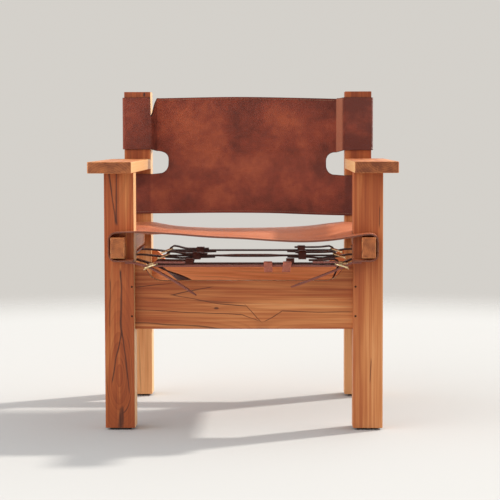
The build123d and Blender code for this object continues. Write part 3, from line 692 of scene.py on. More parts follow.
def leather_piece(name, cut, place, thick, grow, material, round_edge=0.6):
    """grow is 1 where the thickness goes along the mesh's normals, and -1 against them."""
    flat, faces, from_edge = cut
    obj = add_mesh(name, [Vector(place(u, v)) * MM for u, v in flat], faces)
    mesh = obj.data
    uv = mesh.uv_layers.new(name="cut")
    corners = np.zeros(len(mesh.loops), int)
    mesh.loops.foreach_get("vertex_index", corners)
    uv.data.foreach_set("uv", (flat[corners] * MM).ravel())
    mesh.attributes.new("edge", "FLOAT", "POINT").data.foreach_set("value", from_edge)
    mesh.polygons.foreach_set("use_smooth", [True] * len(mesh.polygons))
    mesh.materials.append(material)
    modify(
        obj, "thickness", "SOLIDIFY", thickness=thick * MM, offset=grow, use_even_offset=True,
        use_quality_normals=True,
    )
    modify(
        obj, "rounded edge", "BEVEL", width=round_edge * MM, segments=2, limit_method="ANGLE",
        angle_limit=EDGE_ANGLE, harden_normals=True,
    )
    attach(obj, "chair")
    return obj


def flat_area(cut):
    flat, faces, _ = cut
    a, b, c = (flat[np.array(faces)[:, i]] for i in range(3))
    return float(abs(np.cross(b - a, c - a)).sum() / 2) * MM * MM


# %% [markdown]
# ## Routes
#
# A strap is a flat strip led along a route, which is a chain of straight runs with rounded
# corners. The same idea carries the slings over the rails and round the posts.


# %% Routes
class Route:
    """A polyline with rounded corners, walked by its length."""

    def __init__(self, points, radii, arc_step=10):
        corners = [Vector(p) for p in points]
        if not hasattr(radii, "__len__"):
            radii = [radii] * (len(corners) - 2)
        line = [corners[0]]
        self.bends = []
        for before, corner, after, radius in zip(corners, corners[1:], corners[2:], radii):
            into, out = (corner - before).normalized(), (after - corner).normalized()
            turn = into.angle(out)
            if turn < 1e-3:
                continue
            side = 1 if into.x * out.y - into.y * out.x > 0 else -1
            start = corner - into * radius * (sin(turn / 2) / cos(turn / 2))
            centre = start + Vector((-into.y, into.x)) * radius * side
            count = max(2, round(turn / radians(arc_step)))
            spoke = start - centre
            line += [
                centre + Matrix.Rotation(side * turn * i / count, 2) @ spoke
                for i in range(count + 1)
            ]
        line.append(corners[-1])
        self.line = np.array([tuple(p) for p in line])
        steps_long = np.hypot(*np.diff(self.line, axis=0).T)
        self.walked = np.concatenate([[0], np.cumsum(steps_long)])
        self.length = float(self.walked[-1])

    def at(self, distance):
        return tuple(np.interp(distance, self.walked, self.line[:, axis]) for axis in (0, 1))

    def along(self, distance, reach=0.4):
        a, b = self.at(max(distance - reach, 0)), self.at(min(distance + reach, self.length))
        return Vector((b[0] - a[0], b[1] - a[1])).normalized()

    def where(self, value, axis=0, last=False):
        """How far along the route it first (or last) reaches this coordinate."""
        signs = np.sign(self.line[:, axis] - value)
        found = [i for i in range(len(signs) - 1) if signs[i] != signs[i + 1]]
        i = found[-1 if last else 0]
        a, b = self.line[i, axis], self.line[i + 1, axis]
        share = 0 if a == b else (value - a) / (b - a)
        return float(self.walked[i] + share * (self.walked[i + 1] - self.walked[i]))

    def marks(self, step):
        """Places for grid lines: each bend's own points, and steps along the straight runs."""
        marks = []
        for a, b in zip(self.walked, self.walked[1:]):
            marks += steps(a, b, step)[:-1] if b - a > step else [float(a)]
        return sorted({round(float(m), 3) for m in (*marks, self.length)})


def smooth_line(points):
    """A smooth curve through a few points, as a function (Catmull-Rom)."""
    xs, ys = zip(*points)
    slopes = np.gradient(ys, xs)

    def height(x):
        x = min(max(x, xs[0]), xs[-1])
        i = min(int(np.searchsorted(xs, x, side="right")) - 1, len(xs) - 2)
        wide = xs[i + 1] - xs[i]
        t = (x - xs[i]) / wide
        start = (2 * t**3 - 3 * t**2 + 1) * ys[i] + (t**3 - 2 * t**2 + t) * wide * slopes[i]
        end = (3 * t**2 - 2 * t**3) * ys[i + 1] + (t**3 - t**2) * wide * slopes[i + 1]
        return float(start + end)

    return height


# %% [markdown]
# ## Leather finish
#
# Vegetable-tanned leather is never one colour. Dye sinks in unevenly, so there are cloudy
# patches; the grain is a net of fine pores; hands and edges go darker. The clouds are soft
# noise on the hide's own flat coordinates, the pores a fine Voronoi net, and the edge
# darkening uses the stored distance from the cut. The back's sleeves are darker than its
# panel. The back also carries painted light: the panel is painted lighter towards the left,
# the left crease strip beside the sleeve gets painted shade, and the right one is painted
# pale as a painted sheen.


# %% Leather materials
CREASE_X = 229.0
# Painted sheen: the pale colour painted on the right crease strip.
PAINTED_SHEEN_CREASE = (0.434, 0.158, 0.090)
CREASE_RISES, CREASE_BOTTOM = (CREASE_X - 1, CREASE_X + 4), (0.60, 0.62)
SLEEVE_FROM, SLEEVE_FULL = CREASE_X + 18, CREASE_X + 26
# Painted light: how much the back panel is lifted, and how fast it falls towards the right.
PAINTED_LIGHT_LIFT, PAINTED_LIGHT_FALL = 0.10, 0.6
DARK_HEM, CUT_EDGE, PORE_EDGE = 60, (1.5, 0.2), 0.0006
PORE_SCALE, GRAIN_SCALE = 620, 1500


def leather(
    name, dark, middle, light, clouds=9, shine=0.42, deepen=0.0, gloss=0.3, wings=0.0,
    mottle=1.6, burnish=0.30,
):
    """burnish times the dark colour is the colour of the cut edge. wings is how much darker the
    sleeves are; with it the panel is painted lighter towards the left, the left crease strip
    gets painted shade, and the right one gets a painted sheen."""
    finish = Finish(name, roughness=shine, coat=0.02, specular=gloss)
    hide = finish.cut_place()
    cloud = finish.noise(hide, clouds, detail=4, roughness=0.55, distortion=0.4)
    smudge = finish.noise(hide, clouds * 6, detail=3, roughness=0.6)
    pores = finish.node("ShaderNodeTexVoronoi", {}, {"Vector": hide, "Scale": PORE_SCALE})
    grain = finish.noise(hide, GRAIN_SCALE, detail=2)
    edge = finish.node("ShaderNodeAttribute", {"attribute_name": "edge"}, output="Fac")
    level = (cloud - 0.5) * mottle + (smudge - 0.5) * 0.8 + (grain - 0.5) * 0.25 + 0.5
    level = level - edge.ease(DARK_HEM, 0) * deepen
    if wings:
        across, upward = finish.parts(hide)[:2]
        sideways = abs(across)
        on_sleeve = sideways.ease(SLEEVE_FROM * MM, SLEEVE_FULL * MM)
        crease = sideways.ease(*(value * MM for value in CREASE_RISES)) * (1 - on_sleeve)
        crease = crease * upward.ease(*CREASE_BOTTOM)
        # Painted light and shade: lighter towards the left, and darker on the crease strips as
        # shade.
        level = level + PAINTED_LIGHT_LIFT - across * PAINTED_LIGHT_FALL - on_sleeve * wings - crease * 0.25
    colour = finish.ramp(level.clipped(), ((0.0, dark), (0.5, middle), (1.0, light)))
    burnished = tuple(channel * burnish for channel in dark)
    if wings:
        # Painted sheen: the right crease strip is painted pale.
        colour = finish.mix(crease * across.ease(0, 0.01) * 0.85, colour, PAINTED_SHEEN_CREASE)
    colour = finish.mix(edge.ease(*CUT_EDGE) * 0.85, colour, burnished)
    colour = finish.mix(pores.ease(PORE_EDGE, 0.0) * 0.15, colour, burnished)
    finish.feed("Base Color", colour)
    finish.feed("Roughness", shine + (smudge - 0.5) * 0.22 + (grain - 0.5) * 0.15)
    finish.bump(grain * 0.35 + smudge * 0.4 + pores * 60, 0.0002, strength=0.5)
    return finish.material


saddle = leather(
    "back_saddle_leather", (0.140, 0.028, 0.016), (0.270, 0.054, 0.028), (0.440, 0.104, 0.044),
    clouds=8, deepen=0.28, wings=0.30, mottle=2.1,
)
seat_leather = leather(
    "seat_saddle_leather", (0.40, 0.088, 0.034), (0.62, 0.180, 0.072), (0.72, 0.250, 0.108),
    clouds=6, shine=0.38, gloss=0.40,
)
strap_brown = leather(
    "strap_leather", (0.055, 0.017, 0.012), (0.125, 0.036, 0.025), (0.23, 0.072, 0.048),
    clouds=30, burnish=0.9,
)
strap_rosy = leather(
    "front_strap_leather", (0.17, 0.050, 0.036), (0.32, 0.105, 0.074), (0.46, 0.190, 0.140),
    clouds=30, burnish=1.3,
)
keeper_pale = leather(
    "hanging_keeper_leather", (0.26, 0.066, 0.042), (0.42, 0.120, 0.074), (0.54, 0.20, 0.13),
    clouds=30, burnish=2.4,
)
row_leather = {"front": strap_rosy}
print("leather finishes ready")

# %% [markdown]
# ## Sizes of the frame
#
# The leather takes its places from the CAD nodes that carry it, read from their boxes, so a
# sling lies on the rails and posts exactly where the model has them.

# %% Sizes from the frame, in mm
HIDE = 4.0
STRAP = 3.5
STRAP_WIDE = 25.0
LAY = 0.3


def edges(node):
    low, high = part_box(node)
    return low / MM, high / MM


rail_low, rail_high = edges("side_rail_right")
leg_low, leg_high = edges("front_leg_right")
post_low, post_high = edges("rear_post_right")
seat_low, seat_high = edges("seat_sling")
back_high = edges("back_sling")[1]
RAIL_ROUND = 9.0
print("rail", [round(v, 1) for v in (*rail_low, *rail_high)])
print("seat", [round(v, 1) for v in (*seat_low, *seat_high)])

# %% [markdown]
# ## Seat sling
#
# The seat is one hide. It comes from under one rail, rolls over it, hangs across and rolls
# over the other. A slot on each side lets the front leg through, so a lip with nothing under it
# stands out in front of the legs. The back edge hangs in an even curve, but the front edge has
# dropped where people sit down, to the right of the middle, and it stands a little high at the
# left leg. So the surface is blended from two edge curves.

# %% Seat sling
under_top = rail_high.z + LAY
wrap_x = seat_high.x - HIDE
flap_z = seat_low.z + HIDE
FLAP_INSET, FLAP_BACK = 1.5, 0.5
SEAT_SHOULDER, LIP_BLENDS = 245.0, 150.0
SLOT_GAP, LIP_ROUND = 0.8, 15.0
rear_edge = smooth_line(((-245, 449.8), (-191, 440.5), (-123, 435.6), (0, 434.3), (95, 436),
                         (164, 440.3), (209, 446), (245, 449.8)))
front_edge = smooth_line(((-300, 453.6), (-245, 455.6), (-157, 451), (-77, 444.6), (0, 441),
                          (74, 436), (133, 433.6), (194, 436.6), (245, 443.5), (285, 449.8),
                          (300, 449.8)))
DROP_STARTS, DROP_ENDS = 150.0, -315.0


def wrap_route(corner):
    """Down the right side: from the shoulder over the rail to the inner edge of the flap."""
    top = (SEAT_SHOULDER, under_top), (wrap_x, under_top)
    return Route((*top, (wrap_x, flap_z), (leg_low.x - FLAP_INSET, flap_z)), corner)


snug, loose = wrap_route(RAIL_ROUND + LAY), wrap_route(LIP_ROUND)


def seat_place(u, y):
    hand = 1 if u > 0 else -1
    front_share = ease(y, DROP_STARTS, DROP_ENDS)
    lip_share = ease(y, leg_high.y, seat_low.y)
    beyond = abs(u) - SEAT_SHOULDER
    if beyond <= 0:
        x = u
        share = front_share + (lip_share - front_share) * ease(abs(u), LIP_BLENDS, SEAT_SHOULDER)
        return x, y, rear_edge(x) + (front_edge(x) - rear_edge(x)) * share
    on_rail, at_lip = snug.at(beyond), loose.at(beyond * loose.length / snug.length)
    x = on_rail[0] + (at_lip[0] - on_rail[0]) * lip_share
    z = on_rail[1] + (at_lip[1] - on_rail[1]) * lip_share
    top_share = ease(z, flap_z, under_top)
    lift = (front_edge(hand * x) - under_top) * lip_share * top_share
    return hand * x, y, z + lift


lip_half = SEAT_SHOULDER + snug.length
flap_half = SEAT_SHOULDER + snug.where(rail_low.x - FLAP_BACK, last=True)
slot_in = SEAT_SHOULDER + snug.where(leg_low.x - SLOT_GAP)
slot_front, slot_back = leg_low.y - SLOT_GAP, leg_high.y + SLOT_GAP
side_marks = [SEAT_SHOULDER + m for m in snug.marks(6)]
seat_columns = (
    [-m for m in reversed(side_marks)] + steps(-SEAT_SHOULDER, SEAT_SHOULDER, 8)[1:-1] + side_marks
)
hide_rows = steps(seat_low.y, slot_front, 6) + steps(slot_front, slot_back, 8)[1:]
hide_rows += steps(slot_back, seat_high.y, 9)[1:]
right_side = [
    (lip_half, seat_low.y), (lip_half, slot_front), (slot_in, slot_front), (slot_in, slot_back),
    (flap_half, slot_back), (flap_half, seat_high.y),
]
seat_outline = right_side + [(-u, y) for u, y in reversed(right_side)]
seat_cut = cut_hide(seat_outline, (), seat_columns, hide_rows)
seat = leather_piece("seat_hide", seat_cut, seat_place, HIDE, 1, seat_leather)
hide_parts("seat_sling")
flat_area(seat_cut)
print("seat hide", round(2 * lip_half), "by", round(seat_high.y - seat_low.y), "mm")

# %% [markdown]
# ## Back sling
#
# The back is one hide too. Its upper wings go round the posts as sleeves and are sewn to the
# panel behind the crease. Its lower wings pass in front of the posts and round behind, where
# two straps draw them together. Notches let the arms through. The left crease stands a little
# further out, and it has a slit cut down from the top, so the post shows beside it.

# %% Back sling
post_face = post_low.y - LAY
post_rear = post_high.y + LAY
post_in, post_out = post_low.x - LAY, post_high.x + LAY
PANEL_BACK = post_low.y + 16.0
BACK_BOTTOM, BACK_TOP = 469, 776
SLIT_DEPTH, SLIT_WIDE, SLIT_SLANT = 48.0, 8, 12
HEM_DROP = 2
upper_wing = Route(
    (
        (0, PANEL_BACK), (CREASE_X, PANEL_BACK), (post_in, post_face), (post_out, post_face),
        (post_out, post_rear), (post_in, post_rear), (CREASE_X + 5, PANEL_BACK - 1.5),
    ),
    (3, 3, 3, 3, 3),
)
lower_wing = Route(
    ((0, post_face), (post_out, post_face), (post_out, post_rear), (post_low.x + 6, post_rear)),
    3,
)
lobe_bottom = smooth_line(((-450, 475), (-227, 475.5), (-20, 476.5), (83, 475), (135, 473),
                           (225, 470), (450, 470)))
panel_top = smooth_line(((-CREASE_X, 772), (-20, 775), (120, 772.5), (CREASE_X, 769.5)))
NOTCH_LOW, NOTCH_HIGH = {-1: 579, 1: 574.5}, {-1: 636, 1: 631.5}
NOTCH_IN, NOTCH_ROUND = {-1: 205, 1: 202}, 22.0
SLEEVE_LOW, SLEEVE_HIGH = {-1: 640.5, 1: 637.5}, {-1: 774, 1: 773}
BEND_LOW, BEND_HIGH = 577.0, 638.0
BOW, BOW_RISES, BOW_FALLS = 7.0, (470, 560), (790, 640)
CREASE_OUT, CREASE_OUT_FROM = 6.0, 207
WRINKLE, WRINKLE_SLANT, WRINKLE_PITCH = 0.5, 0.25, 5.5
WRINKLE_LOW, WRINKLE_HIGH, WRINKLE_SIDE = 640, 41, (255, 275)
ROWS_FROM, FINE_FROM, FINE_TO = 468, 574, 642


def back_place(u, z):
    hand = 1 if u > 0 else -1
    share = ease(z, BEND_LOW, BEND_HIGH)
    low, high = lower_wing.at(abs(u)), upper_wing.at(abs(u))
    x = low[0] + (high[0] - low[0]) * share
    y = low[1] + (high[1] - low[1]) * share
    flat_part = max(0, 1 - (x / CREASE_X) ** 2) if abs(u) < CREASE_X else 0
    y += BOW * flat_part * ease(z, *BOW_RISES) * ease(z, *BOW_FALLS)
    if hand < 0:
        out = ease(x, CREASE_OUT_FROM, CREASE_X) * ease(x, post_in, CREASE_X + 4)
        x += CREASE_OUT * out * share
    if y < post_face + HIDE and z > BEND_HIGH:
        wave = sin((z + WRINKLE_SLANT * x) / WRINKLE_PITCH)
        y -= WRINKLE * wave * sin((z - WRINKLE_LOW) / WRINKLE_HIGH) * ease(abs(x), *WRINKLE_SIDE)
    return hand * x, y, z


def arc(centre, radius, start, end, count=8):
    turns = steps(radians(start), radians(end), radians(abs(end - start)) / count)
    return [(centre[0] + radius * cos(a), centre[1] + radius * sin(a)) for a in turns]


def wing_outline(hand):
    """The right half of the cut, upwards from the bottom edge, or its mirror for the left."""
    low, high, inner = NOTCH_LOW[hand], NOTCH_HIGH[hand], NOTCH_IN[hand]
    edge_u, rear_u = upper_wing.where(post_in), upper_wing.length
    bottom_z, top_z = SLEEVE_LOW[hand], SLEEVE_HIGH[hand]
    bottom = [(u, lobe_bottom(hand * u)) for u in steps(0, 300, 20)[1:]]
    points = bottom + [(lower_wing.length, lobe_bottom(hand * 450))]
    points += [(lower_wing.length, low - HEM_DROP), (post_in, low - HEM_DROP)]
    points += arc((inner + NOTCH_ROUND, low + NOTCH_ROUND), NOTCH_ROUND, 270, 180)
    points += arc((inner + NOTCH_ROUND, high - NOTCH_ROUND), NOTCH_ROUND, 180, 90)
    points += [(CREASE_X, high), (edge_u, bottom_z), (rear_u, bottom_z)]
    if hand < 0:
        slit_z, rear_corner = top_z - SLIT_DEPTH, upper_wing.where(post_in, last=True)
        points += [
            (rear_u, slit_z - SLIT_SLANT), (rear_corner - SLIT_WIDE, slit_z),
            (rear_corner - SLIT_SLANT, top_z - HEM_DROP), (edge_u + 1, top_z),
            (edge_u + 0.5, slit_z),
        ]
    else:
        points += [(rear_u, top_z - HEM_DROP), (edge_u + 1, top_z)]
    points += [(u, panel_top(hand * u)) for u in steps(CREASE_X, 0, 20)[:-1]]
    return [(hand * u, z) for u, z in points]


back_outline = (
    [(0, lobe_bottom(0))] + wing_outline(1) + [(0, panel_top(0))] + wing_outline(-1)[::-1]
)
wing_marks = [m for m in sorted(set(upper_wing.marks(7)) | set(lower_wing.marks(7))) if m > 200]
thinned = [wing_marks[0]]
for mark in wing_marks:
    if mark - thinned[-1] > 0.45:
        thinned.append(mark)
back_columns = [-m for m in reversed(thinned)] + steps(-192, 192, 8) + thinned
back_rows = steps(ROWS_FROM, FINE_FROM, 8)[:-1] + steps(FINE_FROM, FINE_TO, 4)
back_rows += steps(FINE_TO, BACK_TOP, 8)[1:]
back_cut = cut_hide(back_outline, (), back_columns, back_rows)
back = leather_piece("back_hide", back_cut, back_place, HIDE, 1, saddle)
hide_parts("back_sling")
flat_area(back_cut)
print("back hide", round(2 * upper_wing.length), "by", BACK_TOP - BACK_BOTTOM, "mm")

# %% [markdown]
# ## Straps, tabs and buckles
#
# Four rows of straps draw the seat tight from below and two draw the back. Each strap is folded
# round the inner bar of its buckle and sewn back on itself. The tab comes down from the sling,
# over the buckle's outer bar, under the strap, and the prong goes up through it. All of that
# follows one drawing of the section, with the bar at its origin.

# %% Section through a buckle
BAR = 1.75
CHAPE_IN = BAR + LAY
CHAPE_OUT = CHAPE_IN + STRAP
TAB_LEVEL = -(CHAPE_OUT + LAY)
TAB_LEAVES, TAB_BEND = 2.0, 12.0
SEWN, FRONT_SEWN = 44.0, 16.0
CHAPE = 94.0
PITCH = 25.0
PRONG = 1.2
SWING = 20.0
PRONG_PLAY = 0.6


class Row:
    """One end of a strap row. At its bar, out points to the sling's edge and up to the sling."""

    def __init__(self, origin, out, up, drop, inset, turn, sewn=SEWN):
        self.origin, self.out, self.up = Vector(origin), Vector(out), Vector(up)
        self.across = self.out.cross(self.up)
        self.start, self.turn = drop - LAY, turn
        self.leaves = inset - TAB_LEAVES
        self.sewn_end = inset + sewn + FLAP_INSET
        slope = atan2(self.start - TAB_LEVEL, self.leaves - turn)
        over_bar = TAB_LEVEL + (PITCH - turn) * tan(slope) - STRAP / cos(slope)
        prong_rest = over_bar - (BAR + LAY) / cos(slope) - BAR - PRONG - LAY
        dip = atan2(-prong_rest, PITCH)

        def slot_end(turned, way):
            middle = TAB_LEVEL - turn * tan(slope) - STRAP / 2 / cos(slope)
            crossing = -middle / (tan(slope) + tan(turned))
            bite = turned + slope
            along_tab = STRAP / 2 / tan(bite) + PRONG / sin(bite)
            return crossing + way * (along_tab * cos(slope) + STRAP / 2 * sin(slope) + PRONG_PLAY)

        self.slot = slot_end(dip + radians(SWING), -1), slot_end(dip, 1)

    def at(self, x, y, t):
        return self.origin + self.out * x + self.up * y + self.across * t


strap_rows = steps(-STRAP_WIDE / 2, STRAP_WIDE / 2, STRAP_WIDE / 6)
EIGHTHS = [i / 8 for i in range(1, 9)]
TIP_CUT = 1.2


def strip(length, wide=STRAP_WIDE, point=0.0, tip=5.0):
    """A straight strap's outline, from its square end to its tapered one."""
    half = wide / 2
    if not point:
        return [(0, -half), (length, -half), (length, half), (0, half)]
    end = [(length - point, -half), (length - TIP_CUT, -tip / 2), (length, -tip / 5)]
    return [(0, -half)] + end + [(s, -t) for s, t in reversed(end)] + [(0, half)]


def hole(centre, radius):
    turns = [i * pi / 6 for i in range(12)]
    return [(centre + radius * cos(a), radius * sin(a)) for a in turns]


def slit(start, end, wide):
    return [(start, -wide / 2), (end, -wide / 2), (end, wide / 2), (start, wide / 2)]


def strap_piece(node, outline, holes, columns, place, material):
    """Cuts a strap or a tab and puts it in the place of its CAD node."""
    cut = cut_hide(outline, holes, columns, strap_rows)
    piece = leather_piece(f"{node}_leather", cut, place, STRAP, -1, material)
    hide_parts(node)


# %% [markdown]
# A kept tail runs level through the keepers. A loose tail falls from the buckle by its own
# weight, so it starts flatter than it ends, and one of them has twisted as well.

# %% Tabs
TAIL, TAPER = 113.0, 20.0
TUCK_BEND, TAIL_BEND = 6, 8
TWIST_FROM, TWIST_TO, TAB_SLOT_WIDE = 12, 30, 4.2
TAB_HOLES, HOLE_SPACING, HOLE_RADIUS = 4, 20.0, 2.0
SAG_LONG = 66.0
tail_sags = {"seat_middle_left": 2.2, "seat_middle_right": 2.6}
# How far a loose tail runs and falls, how early it falls, and its twist in degrees
loose_tails = {
    "seat_front_left": (92, 64, 0.82, 0), "seat_front_right": (103, 45, 1.08, 0),
    "seat_second_left": (99, 60, 0.9, 50), "seat_second_right": (35, 98, 0.95, -20),
}


def tab(name, row, material):
    loose = name in loose_tails
    level = ((row.sewn_end, row.start), (row.leaves, row.start), (row.turn, TAB_LEVEL))
    if loose:
        run, fall, early, twist = loose_tails[name]
        falls = [fall * (early * s + (1 - early) * s * s) for s in EIGHTHS]
        shape = [
            (row.turn - (run + row.turn) * s, TAB_LEVEL - down) for s, down in zip(EIGHTHS, falls)
        ]
    else:
        sag, twist = tail_sags.get(name, 0), 0
        shape = [(-SAG_LONG * s, TAB_LEVEL - sag * sin(pi * s) ** 2) for s in EIGHTHS]
        shape.append((-TAIL, TAB_LEVEL))
    radii = [TAB_BEND, TAB_BEND if loose else TUCK_BEND] + [TAIL_BEND] * (len(shape) - 1)
    route = Route((*level, *shape), radii, arc_step=6)
    bend_at = route.where(row.turn)
    first_hole = route.length - TAPER - HOLE_SPACING * (TAB_HOLES - 0.5)
    holes = [hole(first_hole + HOLE_SPACING * i, HOLE_RADIUS) for i in range(TAB_HOLES)]
    holes.append(slit(route.where(row.slot[1]), route.where(row.slot[0]), TAB_SLOT_WIDE))

    def place(s, t):
        x, y = route.at(s)
        turned = radians(twist) * ease(s, bend_at + TWIST_FROM, route.length - TWIST_TO)
        along = route.along(s)
        side_x, side_y = -along.y * sin(turned) * t, along.x * sin(turned) * t
        return row.at(x + side_x, y + side_y, t * cos(turned))

    outline = strip(route.length, point=TAPER)
    strap_piece(f"{name}_tab", outline, holes, route.marks(5), place, material)


# How far each row's bars hang below the sling, and where its tabs turn in under the strap
seat_rows = {
    "front": (5.4, 14.0), "second": (7.7, 4.0), "middle": (0.7, 1.0), "rear": (0.7, 1.0)
}
BACK_DROP, BACK_TURN = 0.7, 1.0
seat_ends = {}
for row_name, (drop, turn) in seat_rows.items():
    for side, hand in (("left", -1), ("right", 1)):
        low, high = edges(f"seat_{row_name}_{side}_tab")
        strap_low, strap_high = edges(f"seat_{row_name}_strap")
        bar_x = abs(strap_high.x if hand > 0 else strap_low.x) - CHAPE_OUT
        seat_ends[row_name, side] = Row(
            (hand * bar_x, (low.y + high.y) / 2, seat_low.z - drop),
            (hand, 0, 0), (0, 0, 1), drop, leg_low.x - bar_x, turn,
            FRONT_SEWN if row_name == "front" else SEWN,
        )
        material = row_leather.get(row_name, strap_brown)
        tab(f"seat_{row_name}_{side}", seat_ends[row_name, side], material)
back_ends = {}
for row_name in ("upper", "lower"):
    low, high = edges(f"back_{row_name}_tab")
    bar_x = edges(f"back_{row_name}_strap")[1].x - CHAPE_OUT
    back_ends[row_name] = Row(
        (bar_x, back_high.y + BACK_DROP, (low.z + high.z) / 2),
        (1, 0, 0), (0, -1, 0), BACK_DROP, leg_low.x - bar_x, BACK_TURN,
    )
    tab(f"back_{row_name}", back_ends[row_name], strap_brown)
print(len(seat_ends) + len(back_ends), "tabs")

# %% [markdown]
# The straps' folded ends spring up where they leave the buckle, and on the left they then
# close on the strap. Each strap has a slot at its fold for the prong. The middle one has
# turned a little between its keepers, so it shows more of its upper face than the others.

# %% Straps
# Each fold's length, how far it springs up, and how far its end then closes on the strap
seat_folds = {
    ("front", "left"): (66.0, 0.8, 0), ("front", "right"): (54.0, 0.8, 0),
    ("second", "left"): (84.0, 0.8, 0), ("second", "right"): (64.0, 2.8, 0),
    ("middle", "left"): (CHAPE, 1.8, 3.5), ("middle", "right"): (CHAPE, 1.2, 0),
    ("rear", "left"): (CHAPE, 3.6, 3.5), ("rear", "right"): (CHAPE, 2.8, 0),
}
BULGE_AT, CLOSING_RUN = 7.0, (14.0, 42.0)
tilts = {"middle": 6.5}
TAIL_CLEAR, TILT_RUN = 120.0, 45.0
FOLD_SLOT_WIDE, FOLD_SLOT = 6.0, 5.0
HALF_TURN = pi * CHAPE_IN / 2


def round_bar(bar_x, level, way=1):
    """The strap's inside where it goes round its bar, from above to below, in (x, y)."""
    return [
        (bar_x + way * CHAPE_IN * cos(a), level + CHAPE_IN * sin(a))
        for a in steps(pi / 2, -pi / 2, pi / 12)
    ]


def fold_slot(middle):
    """The prong's slot, in the middle of the fold round the bar."""
    reach = HALF_TURN + FOLD_SLOT
    return slit(middle - reach, middle + reach, FOLD_SLOT_WIDE)


def seat_strap(row_name):
    left, right = (seat_ends[row_name, side].origin for side in ("left", "right"))
    folds = [seat_folds[row_name, side] for side in ("left", "right")]
    left_fold, right_fold = (fold[0] for fold in folds)
    points = [(left.x + left_fold, CHAPE_IN), *round_bar(left.x, 0, -1)]
    points += [*round_bar(right.x, 0)[::-1], (right.x - right_fold, CHAPE_IN)]
    route = Route(points, 0.0)
    tilt = radians(tilts.get(row_name, 0))
    tilt_from, tilt_to = left.x + TAIL_CLEAR, right.x - TAIL_CLEAR

    def place(s, t):
        x, y = route.at(s)
        for (long, bulge, closing), walked in zip(folds, (s, route.length - s)):
            past_bar = long - walked
            if past_bar > 0:
                share = past_bar / BULGE_AT
                y += bulge * share * exp(1 - share)
                y -= closing * ease(past_bar, *CLOSING_RUN)
        turned = tilt * ease(x, tilt_from, tilt_from + TILT_RUN)
        turned *= ease(x, tilt_to, tilt_to - TILT_RUN)
        return (x, left.y + t * cos(turned), left.z + y + t * sin(turned))

    middles = left_fold + HALF_TURN, route.length - right_fold - HALF_TURN
    holes = [fold_slot(middle) for middle in middles]
    material = row_leather.get(row_name, strap_brown)
    outline = strip(route.length)
    strap_piece(f"seat_{row_name}_strap", outline, holes, route.marks(6), place, material)


for row_name in seat_rows:
    seat_strap(row_name)


def back_strap(row_name):
    here = back_ends[row_name]
    bar_x, depth = here.origin.x, here.origin.y
    points = [
        (-(leg_low.x + SEWN + FLAP_INSET), depth - here.start),
        (-(leg_low.x - TAB_LEAVES), depth - here.start),
        (-bar_x, depth + CHAPE_IN),
    ]
    points += [*round_bar(bar_x, depth), (bar_x - CHAPE, depth - CHAPE_IN)]
    route = Route(points, [TAB_BEND, TAB_BEND] + [0.0] * (len(points) - 4), arc_step=6)
    holes = [fold_slot(route.length - CHAPE - HALF_TURN)]

    def place(s, t):
        x, y = route.at(s)
        return (x, y, here.origin.z + t)

    outline = strip(route.length)
    strap_piece(f"back_{row_name}_strap", outline, holes, route.marks(6), place, strap_brown)


for row_name in back_ends:
    back_strap(row_name)
print(len(seat_rows) + len(back_ends), "straps")

# %% [markdown]
# ## Keepers
#
# A keeper is a short strip bent into a ring, its two ends meeting where they are stapled. Some
# hold a tail against the strap. Two hang empty on the front strap and stand a little above it.

# %% Keepers
KEEPER, KEEPER_WIDE, KEEPER_PLAY, KEEPER_ROUND, KEEPER_JOINT = 2.0, 19.0, 1.2, 2.0, 0.15
LEFT_KEEPER, RIGHT_KEEPER = -119.0, 137.0
KEEPER_SLACK, CLOSED_DROP = 1.5, 3.4
inner_half = STRAP_WIDE / 2 + KEEPER_PLAY
snug_top = CHAPE_OUT + LAY
snug_bottom = TAB_LEVEL - STRAP - KEEPER_SLACK
closed_top = snug_top - CLOSED_DROP
HANGING, STANDING = 14.0, 5.0
hanging_top = -CHAPE_IN + LAY + STANDING
hanging_bottom = -CHAPE_IN + LAY - HANGING
keeper_places = [
    ("second", -127.0, snug_top, -snug_top, 0), ("second", 107.0, snug_top, -snug_top, 2),
    ("middle", LEFT_KEEPER, closed_top, snug_bottom, 0),
    ("middle", RIGHT_KEEPER, snug_top, snug_bottom, 0),
    ("rear", LEFT_KEEPER, closed_top, snug_bottom, 0),
    ("rear", RIGHT_KEEPER, snug_top, snug_bottom, 0),
    ("front", 56.0, hanging_top, hanging_bottom, -3),
    ("front", 100.0, hanging_top, hanging_bottom, 9),
]


def keeper(name, frame_at, top, bottom, lean, material):
    """A ring round the strap in the plane across it, leaning a little along the strap."""
    right = (0, top), (inner_half, top), (inner_half, bottom)
    left = (-inner_half, bottom), (-inner_half, top), (-KEEPER_JOINT, top)
    route = Route((*right, *left), KEEPER_ROUND, arc_step=15)
    slant = sin(radians(lean))

    def place(s, t):
        across, up = route.at(s)
        return frame_at(t + (up - top) * slant, up, across)

    rows = steps(-KEEPER_WIDE / 2, KEEPER_WIDE / 2, KEEPER_WIDE / 4)
    cut = cut_hide(strip(route.length, KEEPER_WIDE), (), route.marks(4), rows)
    ring = leather_piece(name, cut, place, KEEPER, 1, material, round_edge=0.4)
    return ring


